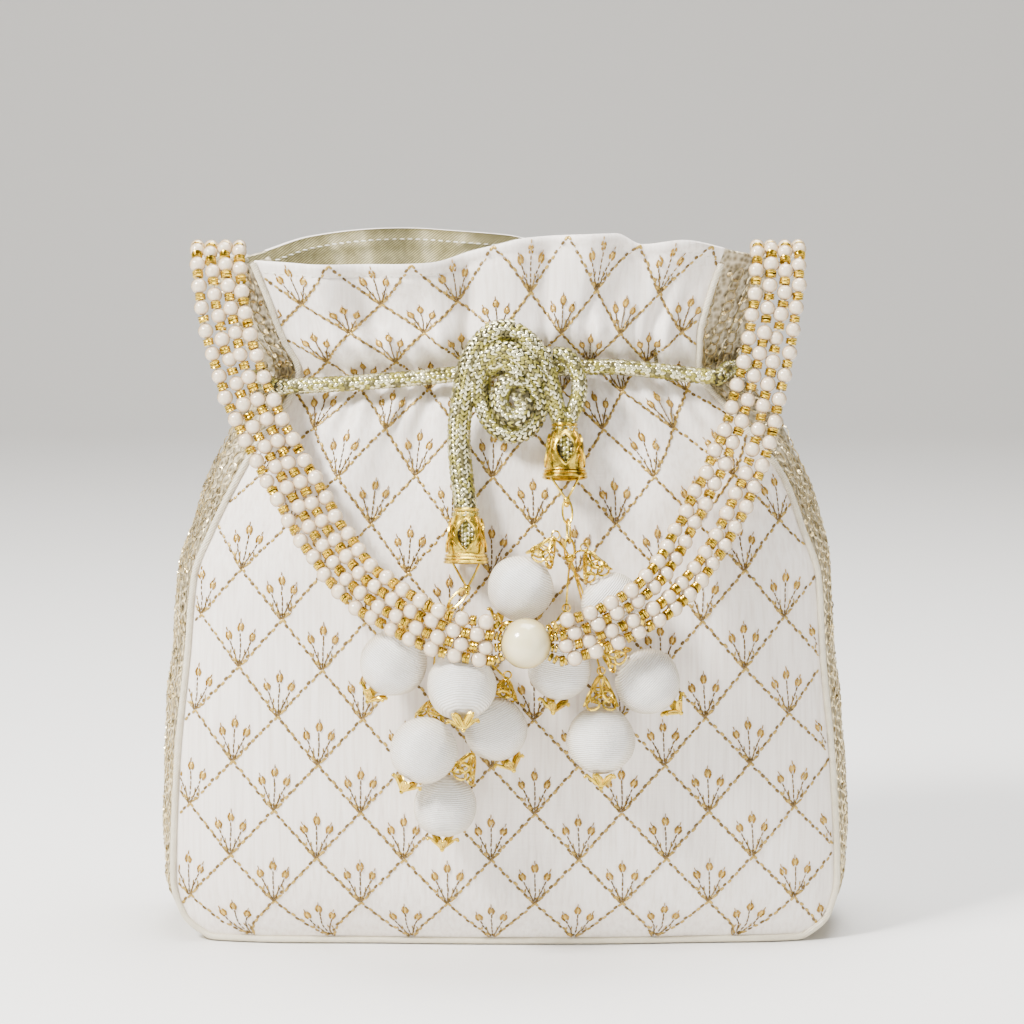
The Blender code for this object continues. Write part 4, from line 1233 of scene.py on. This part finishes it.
def makeWoundBall(name, centre, radius, axis, body, node):
    # a ball wound with thread round its own axis; its object turns with that axis
    around, tall = 44, 104
    points = []
    lump = dice.uniform(0, 6.28, 3)
    fine, broad = tassels["facets"]
    for r in range(tall + 1):
        a = math.pi * r / tall
        arc = a * radius
        for k in range(around):
            b = 2 * math.pi * k / around
            facet = fine * math.sin(7 * b + lump[0]) + broad * math.sin(3 * b + 2 * a + lump[1])
            groove = tassels["groove"] * math.cos(2 * math.pi * arc / tassels["threadPitch"]
                                                  + 0.9 * math.sin(2 * b + lump[2]))
            rr = radius - tassels["sunk"] + (groove + facet) * abs(math.sin(a)) ** 0.6
            rr += tassels["belly"] * math.sin(5 * a + lump[2])
            points.append((rr * math.sin(a) * math.cos(b), rr * math.sin(a) * math.sin(b),
                           rr * 0.985 * math.cos(a)))
    mesh = bpy.data.meshes.new(name)
    mesh.from_pydata([tuple(x * mm for x in p) for p in points], [],
                     [f[::-1] for f in gridFaces(tall + 1, around, closed=True)])
    mesh.materials.append(silkWound)
    mesh.shade_smooth()
    piece = bpy.data.objects.new(name, mesh)
    bpy.context.scene.collection.objects.link(piece)
    piece.location = Vector(centre) * mm
    piece.rotation_mode = "QUATERNION"
    piece.rotation_quaternion = Vector(axis).to_track_quat("Z", "Y")
    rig.ride(piece, body)
    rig.slot(piece, "silk_thread")
    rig.replaces(piece, node)
    return piece


crownCap = {"petals": 5, "reach": 4.9, "lift": 0.9, "tipBall": 0.45, "wire": 0.34}


def makeCrownCap(name, centre, radius, down, body, node, turn=0.0):
    # five pointed petals round a boss, each tipped with a small ball
    place = placer(centre, down)
    build = Build()
    surface = radius + 0.15
    for k in range(crownCap["petals"]):
        middle = 2 * math.pi * k / crownCap["petals"] + turn
        spread = math.pi / crownCap["petals"] * 0.92
        rows = []
        steps = np.linspace(0, 1, 7)
        for f in steps:
            r = 0.9 + (crownCap["reach"] - 0.9) * f
            half = spread * (1.0 - 0.86 * f ** 1.6)
            offs = np.linspace(-1, 1, 5)
            lift = 3.0 * (1 - f) ** 1.1 + crownCap["lift"] * f ** 4 + 0.5 * (1 - offs ** 2) * f
            h = np.sqrt(np.maximum(surface ** 2 - r ** 2, 0)) + lift
            rows.append(place(r + 0 * offs, middle + offs * half, h))
        build.add(np.stack(rows).reshape(-1, 3), gridFaces(7, 5))
        for edge in (0, 4):
            build.tube(np.stack([row[edge] for row in rows]), crownCap["wire"], 4)
        build.tube(np.stack([row[2] for row in rows[:5]]), 0.22, 4)
        build.ball(rows[-1][2], crownCap["tipBall"] + 0.12, 8, 6)
    tipHeight = surface + 2.5
    for h, size in ((tipHeight, 1.3), (tipHeight + 1.2, 0.75)):
        build.ball(place(0.0, 0.0, h), size, 10, 7)
    ring = np.linspace(0, 2 * math.pi, 16, endpoint=False)
    build.tube(place(1.5 + 0 * ring, ring, surface + 2.1 + 0 * ring), 0.3, 5, closed=True)
    return build.finish(name, [gold], body, "gilt", 45, replacing=[node])


coneCap = {"eyes": 5, "shortFoot": 3.9, "tallFoot": 4.7, "eyeWire": 0.4, "ribWire": 0.36}


def makeConeCap(name, centre, radius, up, tall, body, node, turn=0.0):
    # an openwork cone: round eyes along its foot, diamonds above, a wire loop at the tip
    place = placer(centre, up)
    build = Build()
    eyes = coneCap["eyes"]
    foot = coneCap["shortFoot"] if tall < 9 else coneCap["tallFoot"]
    surface = math.sqrt(radius ** 2 - foot ** 2)

    def coneRadius(f):
        return foot * (1 - f) ** 0.75 + 0.7

    def height(f):
        return surface + 0.45 + (tall - (radius - surface) * 0.2) * f
    eye = foot * math.sin(math.pi / eyes) * 0.86
    for k in range(eyes):
        middle = 2 * math.pi * k / eyes + turn
        angles = np.linspace(0, 2 * math.pi, 12, endpoint=False)
        f = 0.17 + 0.17 * np.sin(angles)
        off = np.cos(angles) * eye / foot
        build.tube(place(coneRadius(f), middle + off, height(f)), coneCap["eyeWire"], 5,
                   closed=True)
        for way in (-1, 1):
            fs = np.linspace(0.22, 0.97, 8)
            angle = middle + way * (math.pi / eyes) * np.sin(math.pi * (fs - 0.2) / 0.8) * 0.9
            build.tube(place(coneRadius(fs), angle, height(fs)), coneCap["ribWire"], 5)
        build.ball(place(coneRadius(0.36), middle, height(0.36)), 0.5, 7, 5)
    for f, wire in ((0.56, 0.3), (0.96, 0.42)):
        ring = np.linspace(0, 2 * math.pi, 14, endpoint=False)
        build.tube(place(coneRadius(f) + 0 * ring, ring, height(f) + 0 * ring), wire, 5,
                   closed=True)
    tip = place(0.0, 0.0, height(1.0) + 0.4)
    build.ball(tip, 0.75, 8, 6)
    angles = np.linspace(0, 2 * math.pi, 14, endpoint=False)
    side = np.cross(np.array(Vector(up).normalized()), (0.1, 1.0, 0.0))
    loop = tip + unit(np.array(up, float)) * 1.2 + 1.2 * (
        np.cos(angles)[:, None] * unit(side) + np.sin(angles)[:, None] * unit(np.array(up, float)))
    build.tube(loop, 0.3, 5, closed=True)
    build.finish(name, [gold], body, "gilt", 45, replacing=[node])
    return tip


def makeLink(side, tips):
    # wires from the end cap's foot to a small knot, a chain of loops, and a wire to each cap
    body = "tassel_" + side
    build = Build()
    route = smoothRoute(tassels[side]["link"], 2.0)
    top, bottom = (np.array(p) for p in endCap[side])
    axis = unit(bottom - top)
    gatherAt = route[0] + axis * (6.0 if side == "right" else 7.0) + np.array([0.4, -0.8, 0.0])
    for angle in (0.3, 2.8):
        foot = bottom + np.array([math.cos(angle) * 4.6, -1.6, 0.4])
        build.tube(smoothRoute([foot, foot * 0.45 + gatherAt * 0.55 + np.array([0, -0.5, 0]),
                                gatherAt], 1.0), 0.42, 6)
    build.ball(gatherAt, 1.15, 9, 7)
    build.ball(gatherAt - np.array([0, 0, 1.5]), 0.85, 8, 6)
    target = route[-1]
    count = 3 if side == "right" else 2
    for k in range(count):
        a = gatherAt + (target - gatherAt) * (k / count)
        b = gatherAt + (target - gatherAt) * ((k + 1.25) / count)
        way = unit(b - a)
        across = unit(np.cross(way, (0.0, 1.0, 0.0))) if k % 2 == 0 else np.array([0.3, -0.95, 0])
        angles = np.linspace(0, 2 * math.pi, 20, endpoint=False)
        half = np.linalg.norm(b - a) / 2
        loop = (a + b) / 2 + (np.cos(angles) * half)[:, None] * way \
            + (np.sin(angles) * 1.5)[:, None] * across
        build.tube(loop, 0.42, 6, closed=True)
    for tip in tips:
        middle = (target + tip) / 2 + np.array([0.0, 2.0, 0.6])
        build.tube(smoothRoute([target, middle, tip], 1.6), 0.36, 5)
    build.ball(target, 1.3, 9, 7)
    return build.finish(f"tasselLink_{side}", [gold], body, "gilt", 45,
                        replacing=[f"tassel_link_{side}"])


for side in ("left", "right"):
    body = "tassel_" + side
    tips = []
    for number, (centre, radius, up, down, tall) in enumerate(tassels[side]["balls"], 1):
        makeWoundBall(f"ball_{side}_{number}_silk", centre, radius, down, body,
                      f"ball_{side}_{number}")
        makeCrownCap(f"crownCap_{side}_{number}", centre, radius, down, body,
                     f"bottom_cap_{side}_{number}", 0.5 * number)
        turn = 0.94 if number == 4 else 0.3 * number
        tips.append(makeConeCap(f"coneCap_{side}_{number}", centre, radius, up, tall, body,
                                f"top_cap_{side}_{number}", turn))
    makeLink(side, tips)
print("tassels made")

handle = {
    "left": [(-90.5, -5.5, 220.6), (-90.0, -14.0, 220.4), (-89.4, -21.0, 216.0),
             (-87.6, -25.5, 203.5), (-84.2, -28.5, 188.5), (-79.6, -31.0, 176.0),
             (-74.0, -32.5, 163.5), (-66.5, -35.5, 150.5), (-56.0, -43.5, 134.0),
             (-44.5, -54.5, 121.0), (-30.0, -65.0, 112.8), (-14.5, -70.0, 106.8),
             (6.4, -67.5, 104.3)],
    "right": [(86.0, -5.5, 220.6), (85.8, -14.0, 220.6), (85.2, -21.5, 215.0),
              (83.8, -25.0, 201.5), (81.2, -28.0, 187.0), (77.8, -30.5, 174.0),
              (74.4, -32.5, 161.0), (67.5, -36.5, 145.5), (56.5, -48.0, 127.5),
              (44.0, -63.0, 116.5), (29.5, -67.0, 109.0), (17.0, -69.0, 105.2),
              (6.4, -67.5, 104.3)],
    "anchorPitch": 4.4, "pearlPitch": 3.95, "parting": 3.0, "pearl": 2.45, "step": 7.2,
    "centre": (6.4, -67.5, 104.3), "large": 7.7, "bead": 1.8,
}


def strandPath(side, index):
    middle = smoothRoute(handle[side], 5.0)
    way = 1.0 if side == "left" else -1.0
    spread = 0.0 if side == "left" else handle["parting"]
    rank = index - 1.5
    points = []
    last = len(middle) - 1
    for k, here in enumerate(middle):
        t = k / last
        run = unit(middle[min(k + 1, last)] - middle[max(k - 1, 0)])
        across = unit(np.array([run[2], 0.0, -run[0]])) * way
        f = float(smoothStep(0.08, 0.2, t))
        across = unit(np.array([-way, 0.0, 0.0]) * (1 - f) + across * f)
        f = float(smoothStep(0.75, 0.95, t))
        across = unit(across * (1 - f) + np.array([0.0, 0.0, -1.0]) * f)
        pitch = handle["anchorPitch"] + (handle["pearlPitch"] - handle["anchorPitch"]) \
            * float(smoothStep(0.5, 0.9, t))
        parting = spread * math.sin(math.pi * min(max((t - 0.25) / 0.6, 0.0), 1.0)) ** 2
        points.append(here + across * (rank * pitch + math.copysign(parting / 2, rank)))
    limit = handle["large"] + 0.55
    lift = max(abs(rank * handle["pearlPitch"]) - 1.8, 0.0)
    stand = math.sqrt(limit * limit - lift * lift)
    kept = [p for p in points if abs(p[0] - handle["centre"][0]) > stand]
    return smoothRoute(kept[::2] + [kept[-1]], 3.0)


def ribbedBead(build, centre, axis, half, r):
    # a short ribbed bead, drawn into a waist at its middle
    build.turned(centre, axis, [(0.4, -half), (r * 0.9, -half), (r, -half * 0.6), (r * 0.9, 0.0),
                                (r, half * 0.6), (r * 0.9, half), (0.4, half)], 10, 1)


def makeStrand(side, index):
    path = strandPath(side, index)
    total = lengthOf(path)
    lengths = np.concatenate([[0], np.cumsum(np.linalg.norm(np.diff(path, axis=0), axis=1))])
    tangents, _ = pathFrames(path)

    def at(d):
        here = np.array([np.interp(d, lengths, path[:, k]) for k in range(3)])
        return here, np.array([np.interp(d, lengths, tangents[:, k]) for k in range(3)])
    build = Build()
    build.tube(path, 0.45, 5, material=2)
    count = round(total / handle["step"])
    step = total / count
    gap = step - 2 * handle["pearl"]
    # a pearl or a pair of beads ends each string against the large pearl
    last = total - handle["pearl"] - (gap if index % 2 else 0.1)
    d = last - step * math.ceil(last / step + 1)
    while d < total + step:
        calm = min(max(d, 0.0) / 16, 1.0)  # the first pearls lie snug against the tab
        wander = dice.normal(0, 0.22, 3) * calm
        if handle["pearl"] * 0.6 < d < total - handle["pearl"] * 0.9:
            here, way = at(d)
            radius = handle["pearl"] * dice.uniform(0.97, 1.03) * (0.9 + 0.1 * calm)
            build.ball(here + wander, radius, 16, 10, 0, axis=way)
        for k in range(2):
            e = d + handle["pearl"] + gap * (0.27 + 0.46 * k) - 0.05
            if 0.6 < e < total - 0.6:
                here, way = at(e)
                half, r = gap * 0.235, handle["bead"] * dice.uniform(0.94, 1.05)
                way = way + dice.normal(0, 0.09, 3)
                ribbedBead(build, here + wander * 0.5, way, half, r)
        d += step
    name = f"handleStrand_{side}_{index + 1}"
    piece = build.finish(name, [pearlSmall, beadGold, creamThread], "handle", "pearl", 50,
                         replacing=[f"handle_strand_{side}_{index + 1}"])
    return piece, path


def makeLargePearl():
    build = Build()
    centre = np.array(handle["centre"])
    build.ball(centre, handle["large"], 48, 32, 0, axis=(1, 0.05, 0.1))
    # the string's hole at each side, with a small bead cup
    for way in (-1, 1):
        build.turned(centre + np.array([way * (handle["large"] - 0.5), 0, 0]), (way, 0, 0),
                     [(0.5, -0.2), (1.7, 0.0), (1.5, 0.55), (0.6, 0.75)], 14, 1)
    # threads and small beads close the gap to each string
    for side in ("left", "right"):
        for index in range(4):
            end = strandPath(side, index)[-1]
            aim = unit(centre - end)
            space = float(np.linalg.norm(centre - end)) - handle["large"]
            build.tube(np.array([end, end + aim * (space / 2), end + aim * (space + 1)]), 0.45,
                       5, material=2)
            for k in range(2):
                half, r = space * 0.2, 1.5
                build.turned(end + aim * space * (0.3 + 0.45 * k), aim,
                             [(0.4, -half), (r, -half * 0.6), (r * 0.9, 0.0), (r, half * 0.6),
                              (0.4, half)], 10, 1)
    return build.finish("largePearl", [pearlLarge, beadGold, creamThread], "handle", "pearl", 60,
                        replacing=["centre_pearl"])


tab = {"size": (18.0, 4.0), "top": 217.7,
       "left": (-90.5, -1.2, 213.9), "right": (86.0, -1.2, 216.4)}


def makeTab(side):
    # a folded strip of piping satin, stitched through along its middle
    x, y, floor = tab[side]
    half, deep = tab["size"][0] / 2, tab["size"][1] / 2
    tall = (tab["top"] - floor) / 2
    build = Build()
    rows = []
    for k in range(19):
        a = -1 + 2 * k / 18
        pinch = 1 - 0.12 * abs(math.sin(3 * math.pi * a))
        close = math.sqrt(max(1 - a ** 10, 0.02))
        ring = []
        for j in range(14):
            b = 2 * math.pi * j / 14
            c, s = math.cos(b), math.sin(b)
            ring.append((x + a * half, y + deep * pinch * close * math.copysign(abs(c) ** 0.6, c),
                         floor + tall + tall * close * math.copysign(abs(s) ** 0.6, s)))
        rows.append(ring)
    build.add(np.array(rows).reshape(-1, 3), gridFaces(19, 14, closed=True)
              + [tuple(range(13, -1, -1)), tuple(18 * 14 + c for c in range(14))])
    spots = np.array([(x + a * half * 0.9, y - deep * 0.2, tab["top"] - 0.1)
                      for a in np.linspace(-1, 1, 10)])
    build.grains(spots, np.tile([1.0, 0, 0], (10, 1)), np.tile([0, 0, 1.0], (10, 1)),
                 1.5, 0.45, 0.3, 1)
    return build.finish(f"handleTab_{side}", [pipingCloth, creamThread], "bag", "piping_satin",
                        50, replacing=[f"handle_tab_{side}"])


makeLargePearl()
strands = []
for side in ("left", "right"):
    makeTab(side)
    for index in range(4):
        strands.append((side, *makeStrand(side, index)))
for side, piece, path in strands:
    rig.cord(piece, exit=toMetres(path[:1])[0], length=lengthOf(path) * mm, diameter=0.0047,
            far_end="object", stiffness="limp", lay="hanging", path=toMetres(path))
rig.cord(neckCord, exit=toMetres(neckRoute[:1])[0], length=lengthOf(neckRoute) * mm,
        diameter=0.0046, far_end="object", stiffness="limp", lay="taut",
        path=toMetres(neckRoute), with_pieces=[knotCord])
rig.cord(tailLeft, exit=toMetres(leftRoute[:1])[0], length=lengthOf(leftRoute) * mm,
        diameter=0.0070, far_end="fitting", stiffness="limp", lay="hanging",
        path=toMetres(leftRoute), with_pieces=[capLeft, stubLeft])
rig.cord(tailRight, exit=toMetres(rightRoute[:1])[0], length=lengthOf(rightRoute) * mm,
        diameter=0.0046, far_end="fitting", stiffness="limp", lay="hanging",
        path=toMetres(rightRoute), with_pieces=[capRight, stubRight])
print("handle made")

room = {"floor": (0.86, 0.85, 0.83), "world": (0.98, 0.93, 0.84), "worldStrength": 0.34,
        "key": 54.0, "fill": 6.0, "top": 26.0}
floorMaterial = newMaterial("pale floor", room["floor"], 0.7)[0]
bend = [(-2.5, 0.0), (1.4, 0.0)]
bend += [(1.4 + 0.8 * math.sin(a), 0.8 - 0.8 * math.cos(a)) for a in np.linspace(0.1, 1.57, 14)]
bend += [(2.2, 2.6)]
floorMesh = bpy.data.meshes.new("floorSheet")
floorMesh.from_pydata([(x, y, z) for y, z in bend for x in (-3.0, 3.0)], [],
                      gridFaces(len(bend), 2))
floorMesh.materials.append(floorMaterial)
floorMesh.shade_smooth()
floorSheet = bpy.data.objects.new("floorSheet", floorMesh)
bpy.context.scene.collection.objects.link(floorSheet)
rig.stage(floorSheet)

world = bpy.data.worlds.new("studio")
world.use_nodes = True
world.node_tree.nodes["Background"].inputs["Color"].default_value = (*room["world"], 1)
world.node_tree.nodes["Background"].inputs["Strength"].default_value = room["worldStrength"]
bpy.context.scene.world = world


def addLight(name, place, target, size, power, colour=(1, 1, 1)):
    lamp = bpy.data.lights.new(name, "AREA")
    lamp.shape = "SQUARE"
    lamp.size = size
    lamp.energy = power
    lamp.color = colour
    item = bpy.data.objects.new(name, lamp)
    item.location = place
    item.rotation_euler = (Vector(target) - Vector(place)).to_track_quat("-Z", "Y").to_euler()
    bpy.context.scene.collection.objects.link(item)


addLight("keyLight", (-0.80, -0.62, 1.0), (0, -0.03, 0.12), 0.3, room["key"], (1, 0.98, 0.95))
addLight("fillLight", (0.95, -0.9, 0.55), (0, -0.03, 0.12), 0.9, room["fill"])
addLight("topLight", (0.1, 0.15, 1.1), (0, -0.02, 0.15), 0.7, room["top"])

lens = bpy.data.cameras.new("camera")
lens.sensor_width = 36.0
lens.lens = 105.9
lens.clip_start = 0.02
camera = bpy.data.objects.new("camera", lens)
camera.location = (0.0022, -0.9609, 0.2699)
camera.rotation_euler = (math.radians(82.0), 0.0, 0.0)
bpy.context.scene.collection.objects.link(camera)
bpy.context.scene.camera = camera

newBox = [[float(x) for x in corner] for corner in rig.bounds()]
with open("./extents.json", "w") as out:
    json.dump({"cad": cadBox, "visual": newBox}, out)
print("cad", cadBox, "visual", newBox)
